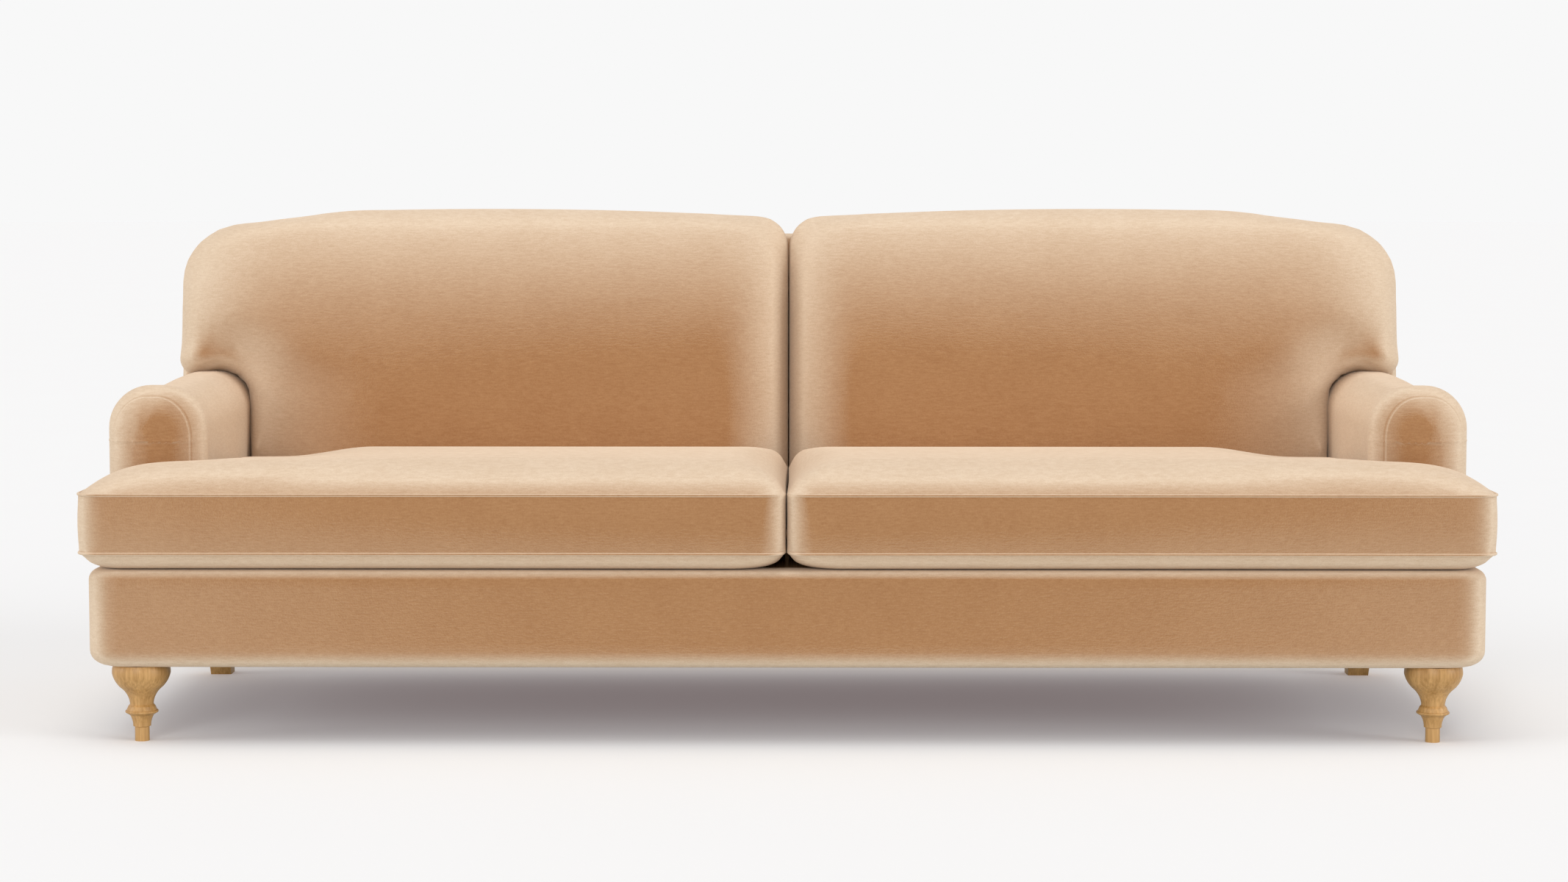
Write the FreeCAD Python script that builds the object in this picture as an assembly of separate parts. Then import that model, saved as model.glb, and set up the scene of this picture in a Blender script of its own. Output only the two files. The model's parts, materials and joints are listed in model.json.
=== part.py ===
"""English roll arm sofa with loose seat and back cushions on a hardwood frame.

Millimetres, +Z up, front towards -Y, origin on the floor under the middle of the sofa.
The right-hand pieces are modelled and mirrored for the left.
"""

import FreeCAD
import Part
import math
import os

from FreeCAD import Placement, Rotation, Vector

# Driving dimensions of the whole sofa
SEAT_WIDTH = 2440.0
OVERALL_DEPTH = 980.0
BACK_RAKE = 10.0
FOOT_HEIGHT = 135.5
BASE_TOP = 305.5
FRONT_Y = -OVERALL_DEPTH / 2

# Base: the padded box that the feet carry
BASE_HALF_WIDTH = 1209.0
BASE_FRONT_Y = FRONT_Y + 15.0
BASE_REAR_Y = FRONT_Y + 893.0
BASE_CORNER_R = 45.0
BASE_BOTTOM_R = 30.0
BASE_TOP_R = 17.0
BASE_WALL = 16.0
BASE_LIP = 40.0
DECK_SET_BACK = 60.0

# Hardwood rails and webbing
RAIL_THICKNESS = 30.0
RAIL_BOTTOM = FOOT_HEIGHT + 12.0
RAIL_TOP = BASE_TOP - 28.0
RAIL_CORNER_R = 28.0
RAIL_OUT_X = BASE_HALF_WIDTH - BASE_WALL - 1.0
RAIL_IN_X = RAIL_OUT_X - 33.0
RAIL_FRONT_Y = BASE_FRONT_Y + BASE_WALL + 1.0
RAIL_REAR_Y = BASE_REAR_Y - BASE_WALL - 1.0
CROSS_RAIL_X = 390.0
BLOCK_LEG = 135.0
BLOCK_HEIGHT = 50.0
WEBBING_WIDTH = 60.0
WEBBING_THICKNESS = 2.5
WEBBING_TOP = RAIL_TOP + 2 * WEBBING_THICKNESS
SEAT_BANDS = 15
SEAT_BAND_PITCH = 132.0
BACK_BANDS = 12
BACK_BAND_PITCH = 170.0

# Arms
ARM_IN_X = 1030.0
ARM_OUT_X = 1203.0
ARM_TOP = 614.0
ARM_ROLL_R = 75.0
ARM_FRONT_Y = FRONT_Y + 176.0
ARM_PADDING = 24.0
ARM_BACK_DIP = 5.0
FACING_INSET = 18.0
FACING_THICKNESS = 14.0
STUMP_FRONT_Y = ARM_FRONT_Y + ARM_PADDING + 3.0
STUMP_REAR_Y = STUMP_FRONT_Y + 28.0
FRAME_IN_X = ARM_IN_X + ARM_PADDING + 8.0
FRAME_OUT_X = ARM_OUT_X - ARM_PADDING - 8.0
FRAME_ARM_TOP = ARM_TOP - ARM_PADDING - 8.0
ARM_PANEL = 4.0

# Fixed back, in its own raked frame: across, up the rake, forward
BACK_HALF_WIDTH = 1194.0
BACK_HEIGHT = 563.0
BACK_THICKNESS = 95.0
BACK_CORNER_R = 120.0
BACK_EDGE_INSET = 16.0
BACK_PADDING = 18.0
POST_DEPTH = 44.0

# Cushions
COVER = 3.0
SEWN_GAP = 0.3
FILLING_GAP = 0.8
CENTRE_GAP = 4.0
SIDE_GAP = 4.0
SEAT_DEPTH = 585.0
SEAT_CORNER_R = 35.0
LOWER_WELT = 336.0
UPPER_WELT = 437.5
EAR_TOP = 480.0
SEAT_CROWN = 487.0
BACK_CUSHION_HALF_WIDTH = 1177.0
BACK_CUSHION_HEIGHT = 580.0
BACK_SHOULDER = (846.0, 593.0)
BACK_SHOULDER_END = 554.0
BACK_CUSHION_THICKNESS = 194.0
BACK_CUSHION_OUTER_R = 116.0
BACK_CUSHION_INNER_R = 56.0
PRESSED = 0.3

# Zips in the hidden side of each cushion
ZIP_LENGTH = 820.0
ZIP_SLOT = 14.0

# Feet
FOOT_X = 1126.0
FRONT_FOOT_Y = FRONT_Y + 85.0
FOOT_SPIGOT_R = 24.0
BACK_FOOT_Y = FRONT_Y + 832.0
BACK_FOOT_SPLAY = 45.0
BOLT_R = 4.0
BOLT_FIT = 0.05

RAKE_SIN = math.sin(math.radians(BACK_RAKE))
RAKE_COS = math.cos(math.radians(BACK_RAKE))
RAKE_TAN = math.tan(math.radians(BACK_RAKE))
BACK_FOOT_OF_RAKE_Y = OVERALL_DEPTH / 2 - (BACK_HEIGHT - BACK_EDGE_INSET) * RAKE_SIN
RAKED = Placement(Vector(0, BACK_FOOT_OF_RAKE_Y, BASE_TOP), Rotation(Vector(1, 0, 0), 90 - BACK_RAKE))
UPRIGHT = Placement(Vector(0, 0, 0), Rotation(Vector(1, 0, 0), 90))
FAR = 3000.0
LOFT_DEGREE = 3

parts = {}


def block(x0, x1, y0, y1, z0, z1):
    """A plain rectangular length of material between two corners."""
    return Part.makeBox(x1 - x0, y1 - y0, z1 - z0, Vector(x0, y0, z0))


def placed(shape, placement):
    """The shape carried from a local frame into the sofa's frame."""
    moved = shape.copy()
    moved.Placement = placement.multiply(moved.Placement)
    return moved


def mirrored(shape):
    """The left-hand twin of a right-hand piece."""
    return shape.mirror(Vector(0, 0, 0), Vector(1, 0, 0))


def add_pair(name, right):
    """Stores a right-hand piece and its left-hand twin under their two names."""
    parts["right_" + name] = right
    parts["left_" + name] = mirrored(right)


def behind_back_plane(forward):
    """Everything behind a plane of the raked back, that distance in front of its rear face."""
    return placed(block(-FAR, FAR, -FAR, FAR, -FAR, forward), RAKED)


def below(height):
    """Everything under a level plane."""
    return block(-FAR, FAR, -FAR, FAR, -FAR, height)


def rounded_outline(corners, inset, height, within=0.0):
    """A closed wire of lines and arcs at a height: each corner is (x, y, radius, radius gained per mm of
    inset, draw-in of the side that follows it, share of the inset that this side takes), counter-clockwise.
    All sides move in further by the distance within."""
    count = len(corners)
    points = [Vector(c[0], c[1], height) for c in corners]
    along = [(points[(i + 1) % count] - points[i]).normalize() for i in range(count)]
    inward = [Vector(-d.y, d.x, 0) for d in along]
    moved = [inset * c[5] + within for c in corners]
    arcs = []
    for i in range(count):
        before, after = along[i - 1], along[i]
        turn = before.x * after.y - before.y * after.x
        half_turn = math.atan2(turn, before.dot(after)) / 2
        corner = points[i] + (after * moved[i - 1] - before * moved[i]) * (1 / turn)
        radius = corners[i][2] + corners[i][3] * (inset + within)
        reach = radius * abs(math.tan(half_turn))
        start, end = corner - before * reach, corner + after * reach
        centre = start + inward[i - 1] * (radius if turn > 0 else -radius)
        middle = centre + (corner - centre).normalize() * radius
        arcs.append((start, middle, end))
    edges = []
    for i in range(count):
        start, middle, end = arcs[i]
        edges.append(Part.Arc(start, middle, end).toShape())
        following = arcs[(i + 1) % count][0]
        draw_in = corners[i][4]
        if draw_in:
            bowed = (end + following) * 0.5 + inward[i] * draw_in
            edges.append(Part.Arc(end, bowed, following).toShape())
        else:
            edges.append(Part.LineSegment(end, following).toShape())
    return Part.Wire(edges)


def lofted(wires, ruled=False):
    """A solid through a row of outlines; the cubic fit keeps it from swinging out between them."""
    return Part.makeLoft(wires, True, ruled, False, LOFT_DEGREE)


def padded_form(corners_at, levels, within=0.0, ruled=False):
    """A closed stuffed form: outlines lofted through (height, inset) levels, or the same form that lies
    a given distance within it."""
    heights = [level[0] for level in levels]
    heights[0] += within
    heights[-1] -= within
    wires = []
    for height, level in zip(heights, levels):
        wires.append(rounded_outline(corners_at(height), level[1], height, within))
    return lofted(wires, ruled)


# Base cover, deck and dust cover

def upright_edges(shape):
    """The edges of a box that run straight up its whole height."""
    height = shape.BoundBox.ZLength
    return [edge for edge in shape.Edges if abs(edge.BoundBox.ZLength - height) < 1e-6]


def base_cover():
    """Border fabric over wadding: a rounded box, open in the middle, turned in over and under the rails."""
    wide, front, rear = BASE_HALF_WIDTH, BASE_FRONT_Y, BASE_REAR_Y
    body = block(-wide, wide, front, rear, FOOT_HEIGHT, BASE_TOP)
    body = body.makeFillet(BASE_CORNER_R, upright_edges(body))
    body = body.makeFillet(BASE_BOTTOM_R, [e for e in body.Edges if e.BoundBox.ZMax < FOOT_HEIGHT + 1e-6])
    body = body.makeFillet(BASE_TOP_R, [e for e in body.Edges if e.BoundBox.ZMin > BASE_TOP - 1e-6])
    inside = (BASE_WALL - wide, wide - BASE_WALL, front + BASE_WALL, rear - BASE_WALL)
    hollow = block(*inside, RAIL_BOTTOM, WEBBING_TOP)
    hollow = hollow.makeFillet(BASE_CORNER_R - BASE_WALL + 1, upright_edges(hollow))
    within_lip = (BASE_LIP - wide, wide - BASE_LIP, front + BASE_LIP, rear - BASE_LIP)
    body = body.cut(hollow).cut(block(*within_lip, FOOT_HEIGHT - 1, RAIL_BOTTOM))
    through_top = (WEBBING_TOP - 1, BASE_TOP + 1)
    body = body.cut(block(-ARM_IN_X, ARM_IN_X, front + DECK_SET_BACK, rear - BASE_WALL, *through_top))
    for side in (-1, 1):
        inner, outer = sorted((side * (ARM_IN_X - 1), side * (FRAME_OUT_X + 2)))
        body = body.cut(block(inner, outer, STUMP_FRONT_Y - 3, rear - BASE_WALL, *through_top))
    return body


def seat_deck_pad():
    """Felt and deck cloth over the webbing, flush with the top of the base."""
    return block(
        1 - ARM_IN_X, ARM_IN_X - 1, BASE_FRONT_Y + DECK_SET_BACK, BACK_FOOT_OF_RAKE_Y - BACK_THICKNESS - 6,
        WEBBING_TOP, BASE_TOP,
    )


def dust_cover():
    """Cambric sheet stapled under the rails, cut away round each foot."""
    thickness = 1.2
    edge = BASE_BOTTOM_R + 6.0
    notch = 140.0
    x = BASE_HALF_WIDTH - edge
    y0, y1 = BASE_FRONT_Y + edge, BASE_REAR_Y - edge
    sheet = block(-x, x, y0, y1, FOOT_HEIGHT - thickness, FOOT_HEIGHT)
    for corner_x in (-x, x):
        for corner_y in (y0, y1):
            sheet = sheet.cut(Part.makeCylinder(notch, 10, Vector(corner_x, corner_y, FOOT_HEIGHT - 5)))
    return sheet


parts["base_cover"] = base_cover()
parts["seat_deck_pad"] = seat_deck_pad()
parts["dust_cover"] = dust_cover()


# Seat frame: rails, cross rails, corner blocks

def long_rail(outer_y, inner_y):
    """Front or back seat rail, with the upright corners that the cover wraps rounded off."""
    y0, y1 = sorted((outer_y, inner_y))
    rail = block(-RAIL_OUT_X, RAIL_OUT_X, y0, y1, RAIL_BOTTOM, RAIL_TOP)
    corners = [
        e for e in rail.Edges
        if e.BoundBox.XLength < 1e-6 and e.BoundBox.YLength < 1e-6 and abs(e.Vertexes[0].Y - outer_y) < 1e-6
    ]
    return rail.makeFillet(RAIL_CORNER_R, corners)


def corner_block(y_corner, towards_front):
    """Triangular hardwood block glued into a right-hand corner of the rails, to take a foot bolt."""
    step = -BLOCK_LEG if towards_front else BLOCK_LEG
    profile = Part.makePolygon([
        Vector(RAIL_IN_X, y_corner, RAIL_BOTTOM),
        Vector(RAIL_IN_X - BLOCK_LEG, y_corner, RAIL_BOTTOM),
        Vector(RAIL_IN_X, y_corner + step, RAIL_BOTTOM),
        Vector(RAIL_IN_X, y_corner, RAIL_BOTTOM),
    ])
    return Part.Face(profile).extrude(Vector(0, 0, BLOCK_HEIGHT))


FRONT_RAIL_BACK_Y = RAIL_FRONT_Y + RAIL_THICKNESS
BACK_RAIL_FRONT_Y = RAIL_REAR_Y - RAIL_THICKNESS
parts["front_seat_rail"] = long_rail(RAIL_FRONT_Y, FRONT_RAIL_BACK_Y)
parts["back_seat_rail"] = long_rail(RAIL_REAR_Y, BACK_RAIL_FRONT_Y)
BETWEEN_RAILS = (FRONT_RAIL_BACK_Y, BACK_RAIL_FRONT_Y)
add_pair("side_rail", block(RAIL_IN_X, RAIL_OUT_X, *BETWEEN_RAILS, RAIL_BOTTOM, RAIL_TOP))
parts["seat_cross_rails"] = Part.makeCompound([
    block(x - 16, x + 16, *BETWEEN_RAILS, RAIL_BOTTOM, RAIL_TOP - 22)
    for x in (-CROSS_RAIL_X, CROSS_RAIL_X)
])


# Feet with their bolts and tee nuts

def turned_foot():
    """Bun-topped turned foot on its own axis: swelling, waist, ring, taper and toe, with a spigot on top."""
    toe, toe_top = 12.6, 24.5
    taper_low, taper_high, taper_top = 15.4, 20.6, 45.5
    ring, ring_z, ring_top, ring_top_z = 28.7, 52.5, 22.6, 61.5
    waist, waist_z = 20.3, 65.0
    swell, swell_z = 50.5, 119.5
    crown = 48.0
    edges = [
        Part.LineSegment(Vector(0, 0, 0), Vector(toe, 0, 0)),
        Part.LineSegment(Vector(toe, 0, 0), Vector(toe, 0, toe_top)),
        Part.LineSegment(Vector(toe, 0, toe_top), Vector(taper_low, 0, toe_top + 1.6)),
        Part.Arc(
            Vector(taper_low, 0, toe_top + 1.6), Vector(16.6, 0, 36.0), Vector(taper_high, 0, taper_top),
        ),
        Part.LineSegment(Vector(taper_high, 0, taper_top), Vector(ring - 2.4, 0, ring_z - 3.2)),
        Part.Arc(
            Vector(ring - 2.4, 0, ring_z - 3.2),
            Vector(ring, 0, ring_z - 0.6),
            Vector(ring - 2.2, 0, ring_z + 1.8),
        ),
        Part.LineSegment(Vector(ring - 2.2, 0, ring_z + 1.8), Vector(ring_top + 0.8, 0, ring_top_z)),
        Part.LineSegment(Vector(ring_top + 0.8, 0, ring_top_z), Vector(waist, 0, waist_z)),
        Part.Arc(Vector(waist, 0, waist_z), Vector(24.6, 0, 80.5), Vector(33.4, 0, 92.0)),
        Part.Arc(Vector(33.4, 0, 92.0), Vector(45.4, 0, 106.0), Vector(swell, 0, swell_z)),
        Part.Arc(Vector(swell, 0, swell_z), Vector(50.1, 0, 128.0), Vector(crown, 0, FOOT_HEIGHT)),
        Part.LineSegment(Vector(crown, 0, FOOT_HEIGHT), Vector(FOOT_SPIGOT_R, 0, FOOT_HEIGHT)),
        Part.LineSegment(Vector(FOOT_SPIGOT_R, 0, FOOT_HEIGHT), Vector(FOOT_SPIGOT_R, 0, RAIL_BOTTOM)),
        Part.LineSegment(Vector(FOOT_SPIGOT_R, 0, RAIL_BOTTOM), Vector(0, 0, RAIL_BOTTOM)),
        Part.LineSegment(Vector(0, 0, RAIL_BOTTOM), Vector(0, 0, 0)),
    ]
    profile = Part.Wire([edge.toShape() for edge in edges])
    return Part.Face(profile).revolve(Vector(0, 0, 0), Vector(0, 0, 1), 360)


def back_foot():
    """Square tapered foot that splays backwards, with a spigot on top; its axis is the bolt's."""
    toe, top = 20.0, 27.0
    toe_corners = [(-toe, -toe), (toe, -toe), (toe, toe), (-toe, toe)]
    wires = []
    for half, z, shift in ((toe, 0.0, BACK_FOOT_SPLAY), (top, FOOT_HEIGHT, 0.0)):
        corners = [Vector(sx * half / toe, sy * half / toe + shift, z) for sx, sy in toe_corners]
        wires.append(Part.makePolygon(corners + corners[:1]))
    body = lofted(wires, ruled=True)
    spigot = Part.makeCylinder(20.0, RAIL_BOTTOM - FOOT_HEIGHT, Vector(0, 0, FOOT_HEIGHT))
    return body.fuse(spigot)


BOLT_LOW = FOOT_HEIGHT - 42.0
BLOCK_TOP = RAIL_BOTTOM + BLOCK_HEIGHT
NUT_BARREL_R = 5.5
NUT_LENGTH = 14.0


def bolt_hole(radius, low, high):
    """A drilling on the foot's own axis."""
    return Part.makeCylinder(radius, high - low, Vector(0, 0, low))


def tee_nut():
    """Barrel pressed into the block from above, under a thin flange, threaded on the foot bolt."""
    barrel = bolt_hole(NUT_BARREL_R, BLOCK_TOP - NUT_LENGTH, BLOCK_TOP)
    flange = bolt_hole(11.0, BLOCK_TOP, BLOCK_TOP + 1.6)
    return barrel.fuse(flange).cut(bolt_hole(BOLT_R + BOLT_FIT, 0, BLOCK_TOP + 10))


foot_drilling = bolt_hole(BOLT_R + BOLT_FIT, BOLT_LOW, RAIL_BOTTOM + 1)
block_drilling = bolt_hole(BOLT_R + BOLT_FIT, RAIL_BOTTOM - 1, BLOCK_TOP + 1).fuse(
    bolt_hole(NUT_BARREL_R + BOLT_FIT, BLOCK_TOP - NUT_LENGTH, BLOCK_TOP + 1)
)
front_foot_at = Vector(FOOT_X, FRONT_FOOT_Y, 0)
back_foot_at = Vector(FOOT_X, BACK_FOOT_Y, 0)
add_pair("front_foot", turned_foot().cut(foot_drilling).translated(front_foot_at))
add_pair("back_foot", back_foot().cut(foot_drilling).translated(back_foot_at))

right_blocks = []
for place, y_corner, towards_front in (
    (front_foot_at, FRONT_RAIL_BACK_Y, False),
    (back_foot_at, BACK_RAIL_FRONT_Y, True),
):
    right_blocks.append(corner_block(y_corner, towards_front).cut(block_drilling.translated(place)))
parts["corner_blocks"] = Part.makeCompound(right_blocks + [mirrored(b) for b in right_blocks])

bolts, nuts = [], []
for place in (front_foot_at, back_foot_at):
    bolts.append(bolt_hole(BOLT_R, BOLT_LOW, BLOCK_TOP + 6).translated(place))
    nuts.append(tee_nut().translated(place))
parts["foot_bolts"] = Part.makeCompound(bolts + [mirrored(b) for b in bolts])
parts["foot_tee_nuts"] = Part.makeCompound(nuts + [mirrored(n) for n in nuts])


# Webbing

def seat_webbing():
    """Elastic bands stapled from the front rail to the back rail, with four more across them."""
    low, high = RAIL_TOP, RAIL_TOP + WEBBING_THICKNESS
    half = WEBBING_WIDTH / 2
    bands = []
    for i in range(SEAT_BANDS):
        x = (i - (SEAT_BANDS - 1) / 2) * SEAT_BAND_PITCH
        bands.append(block(x - half, x + half, RAIL_FRONT_Y + 4, RAIL_REAR_Y - 4, low, high))
    for i in range(4):
        y = FRONT_Y + 300.0 + i * 120.0
        over = (high, high + WEBBING_THICKNESS)
        bands.append(block(4 - RAIL_OUT_X, RAIL_OUT_X - 4, y - half, y + half, *over))
    return Part.makeCompound(bands)


parts["seat_webbing"] = seat_webbing()


# Arms: frame, padding, cover and front facing

def arm_corners(height):
    """Right arm in cross section: straight sides under a half-round roll, run down past the base's top.
    Behind the knuckle its inner side keeps close to the cushions."""
    foot = BASE_TOP - 40.0
    inner = PRESSED if height < -ARM_FRONT_Y - 25.0 else 1.0
    return [
        (ARM_IN_X, foot, 4.0, 0.0, 0.0, 1.0),
        (ARM_OUT_X, foot, 4.0, 0.0, 0.0, 1.0),
        (ARM_OUT_X, ARM_TOP, ARM_ROLL_R, -1.0, 0.0, 1.0),
        (ARM_IN_X, ARM_TOP, ARM_ROLL_R, -1.0, 0.0, inner),
    ]


def arm_form(within=0.0):
    """The arm from behind the back's face to its front: dipped along its length, full at the knuckle."""
    levels = [
        (-FRONT_Y - 880.0, ARM_BACK_DIP),
        (-FRONT_Y - 640.0, ARM_BACK_DIP),
        (-FRONT_Y - 420.0, 10.0),
        (-FRONT_Y - 300.0, 12.0),
        (-FRONT_Y - 240.0, 6.0),
        (-FRONT_Y - 205.0, 0.0),
        (-FRONT_Y - 186.0, 5.0),
        (-ARM_FRONT_Y, 20.0),
    ]
    return placed(padded_form(arm_corners, levels, within), UPRIGHT)


def arm_layer(within, hollow):
    """A layer of the arm, set on the base and ended against the back, with a way through for the rails."""
    ended_at = BACK_THICKNESS + SEWN_GAP + within
    layer = arm_form(within).cut(hollow).cut(below(BASE_TOP)).cut(behind_back_plane(ended_at))
    return layer.cut(block(FRAME_IN_X - 2, FRAME_OUT_X + 2, 0, FAR, BASE_TOP - 1, FRAME_ARM_TOP + 2))


def arm_hollow():
    """The space inside the arm's padding, which the arm frame fills."""
    inset = ARM_PADDING + 7.0
    ends = (-FRONT_Y - 900.0, -ARM_FRONT_Y - ARM_PADDING)
    wires = [rounded_outline(arm_corners(end), 0.0, end, inset) for end in ends]
    return placed(lofted(wires, ruled=True), UPRIGHT)


def arm_facing():
    """Sewn-in front panel of the arm, a shallow pad inside the roll's edge."""
    face = -ARM_FRONT_Y + SEWN_GAP
    levels = [
        (face, FACING_INSET),
        (face + 5.0, FACING_INSET + 1.5),
        (face + 11.0, FACING_INSET + 9.0),
        (face + FACING_THICKNESS, FACING_INSET + 24.0),
    ]
    return placed(padded_form(arm_corners, levels), UPRIGHT).cut(below(BASE_TOP))


def arm_stump():
    """Front arm post cut from one board: a tenon beside the side rail and a round head for the roll."""
    head_r = (FRAME_OUT_X - FRAME_IN_X) / 2
    head_x, head_z = (FRAME_OUT_X + FRAME_IN_X) / 2, FRAME_ARM_TOP - head_r
    foot = RAIL_BOTTOM + 10.0
    y = STUMP_FRONT_Y
    outline = [
        Part.LineSegment(Vector(FRAME_IN_X, y, foot), Vector(RAIL_IN_X, y, foot)),
        Part.LineSegment(Vector(RAIL_IN_X, y, foot), Vector(RAIL_IN_X, y, RAIL_TOP)),
        Part.LineSegment(Vector(RAIL_IN_X, y, RAIL_TOP), Vector(FRAME_OUT_X, y, RAIL_TOP)),
        Part.LineSegment(Vector(FRAME_OUT_X, y, RAIL_TOP), Vector(FRAME_OUT_X, y, head_z)),
        Part.Arc(
            Vector(FRAME_OUT_X, y, head_z), Vector(head_x, y, FRAME_ARM_TOP), Vector(FRAME_IN_X, y, head_z),
        ),
        Part.LineSegment(Vector(FRAME_IN_X, y, head_z), Vector(FRAME_IN_X, y, foot)),
    ]
    wire = Part.Wire([edge.toShape() for edge in outline])
    return Part.Face(wire).extrude(Vector(0, STUMP_REAR_Y - STUMP_FRONT_Y, 0))


def arm_rail(x0, x1, z0, z1, crown=0.0):
    """A rail from the arm stump back to the raked post, level or arched along its top."""
    y = STUMP_REAR_Y
    edges = [
        Part.LineSegment(Vector(x0, y, z0), Vector(x1, y, z0)).toShape(),
        Part.LineSegment(Vector(x1, y, z0), Vector(x1, y, z1)).toShape(),
    ]
    if crown:
        top = Vector((x0 + x1) / 2, y, z1 + crown)
        edges.append(Part.Arc(Vector(x1, y, z1), top, Vector(x0, y, z1)).toShape())
    else:
        edges.append(Part.LineSegment(Vector(x1, y, z1), Vector(x0, y, z1)).toShape())
    edges.append(Part.LineSegment(Vector(x0, y, z1), Vector(x0, y, z0)).toShape())
    rail = Part.Face(Part.Wire(edges)).extrude(Vector(0, OVERALL_DEPTH, 0))
    return rail.cut(behind_back_plane(BACK_PADDING + POST_DEPTH))


ARM_TACK_Z = (BASE_TOP + 12.0, BASE_TOP + 54.0)
ARM_RAIL_Z = (FRAME_ARM_TOP - 80.0, FRAME_ARM_TOP - 38.0)
BEHIND_PANEL_X = FRAME_IN_X + ARM_PANEL
cover_hollow = arm_form(COVER).cut(behind_back_plane(BACK_THICKNESS + SEWN_GAP + COVER))
add_pair("arm_cover", arm_layer(0.0, cover_hollow))
add_pair("arm_padding", arm_layer(COVER + SEWN_GAP, arm_hollow()))
add_pair("arm_facing", arm_facing())
add_pair("arm_stump", arm_stump())
add_pair("arm_top_rail", arm_rail(BEHIND_PANEL_X, FRAME_OUT_X - ARM_PANEL, *ARM_RAIL_Z, crown=24.0))
add_pair("arm_tack_rail", arm_rail(BEHIND_PANEL_X, BEHIND_PANEL_X + 26.0, *ARM_TACK_Z))
add_pair("arm_panel", arm_rail(FRAME_IN_X, BEHIND_PANEL_X, ARM_TACK_Z[0], ARM_RAIL_Z[1] - 4.0))


# Fixed back: frame, webbing, padding and cover, all in the raked frame

def back_corners(height):
    """The back seen square on: upright sides and large round shoulders, run down past the base's top."""
    foot = -40.0
    return [
        (-BACK_HALF_WIDTH, foot, 6.0, 0.0, 0.0, 1.0),
        (BACK_HALF_WIDTH, foot, 6.0, 0.0, 0.0, 1.0),
        (BACK_HALF_WIDTH, BACK_HEIGHT, BACK_CORNER_R, -0.8, 0.0, 1.0),
        (-BACK_HALF_WIDTH, BACK_HEIGHT, BACK_CORNER_R, -0.8, 0.0, 1.0),
    ]


def back_form(within=0.0):
    """The padded back with its edges rounded over to both faces."""
    levels = [
        (0.0, BACK_EDGE_INSET),
        (7.0, 6.0),
        (22.0, 0.6),
        (47.5, 0.0),
        (73.0, 0.6),
        (88.0, 6.0),
        (BACK_THICKNESS, BACK_EDGE_INSET),
    ]
    return padded_form(back_corners, levels, within)


def back_hollow():
    """The space between the back's two paddings, which the frame and webbing fill, open at its foot."""
    front = BACK_PADDING + POST_DEPTH + WEBBING_THICKNESS
    levels = [(BACK_PADDING, BACK_PADDING + 3.0), (front, BACK_PADDING + 3.0)]
    return padded_form(back_corners, levels, 0.0, ruled=True)


def back_skin(form, hollow):
    """A layer of the back, set on the base, with pockets where the arm rails come through to the posts."""
    skin = placed(form.cut(hollow), RAKED).cut(below(BASE_TOP))
    for side in (-1, 1):
        inner, outer = sorted((side * (FRAME_IN_X - 2), side * (FRAME_OUT_X + 2)))
        pocket = block(inner, outer, -FAR, FAR, BASE_TOP - 1, FRAME_ARM_TOP + 2)
        skin = skin.cut(pocket.cut(behind_back_plane(BACK_PADDING + POST_DEPTH)))
    return skin


def slatted(u0, u1, v0, v1):
    """A back member between the frame's faces, in the raked frame."""
    return placed(block(u0, u1, v0, v1, BACK_PADDING, BACK_PADDING + POST_DEPTH), RAKED)


def back_post():
    """Raked post, housed over the back rail and standing clear of the foot bolt in the corner block."""
    post = slatted(POST_IN_X, RAIL_IN_X, -FAR, POST_TOP).cut(below(BLOCK_TOP + 12))
    return post.cut(block(-FAR, FAR, BACK_RAIL_FRONT_Y, FAR, RAIL_BOTTOM, RAIL_TOP))


POST_IN_X = RAIL_IN_X - 56.0
POST_TOP = BACK_HEIGHT - 78.0
TOP_RAIL = (POST_TOP, BACK_HEIGHT - 30.0)
TACK_RAIL = (40.0, 95.0)
parts["back_cover"] = back_skin(back_form(), back_form(COVER))
parts["back_padding"] = back_skin(back_form(COVER + SEWN_GAP), back_hollow())
add_pair("back_post", back_post())
parts["back_top_rail"] = slatted(-RAIL_IN_X + 60, RAIL_IN_X - 60, *TOP_RAIL)
parts["back_tack_rail"] = slatted(-POST_IN_X, POST_IN_X, *TACK_RAIL)
parts["back_centre_post"] = slatted(-25.0, 25.0, TACK_RAIL[1], TOP_RAIL[0])


def back_webbing():
    """Bands stapled to the front of the back frame, from the tack rail up to the top rail."""
    face = BACK_PADDING + POST_DEPTH
    half = WEBBING_WIDTH / 2
    bands = []
    for i in range(BACK_BANDS):
        u = (i - (BACK_BANDS - 1) / 2) * BACK_BAND_PITCH
        reach = (TACK_RAIL[0] + 8, TOP_RAIL[1] - 12)
        bands.append(block(u - half, u + half, *reach, face, face + WEBBING_THICKNESS))
    return placed(Part.makeCompound(bands), RAKED)


parts["back_webbing"] = back_webbing()


# Seat cushions: an outer ear wraps round in front of the arm

EAR_BACK_Y = ARM_FRONT_Y - FACING_THICKNESS - SIDE_GAP
SEAT_OUT_X = SEAT_WIDTH / 2
SEAT_SIDE_X = ARM_IN_X - SIDE_GAP
SEAT_BOTTOM = BASE_TOP + SEWN_GAP


def seat_back_y(height):
    """The seat cushion's back boxing leans with the back cushion behind it."""
    return FRONT_Y + SEAT_DEPTH + (height - LOWER_WELT) * RAKE_TAN


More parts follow.
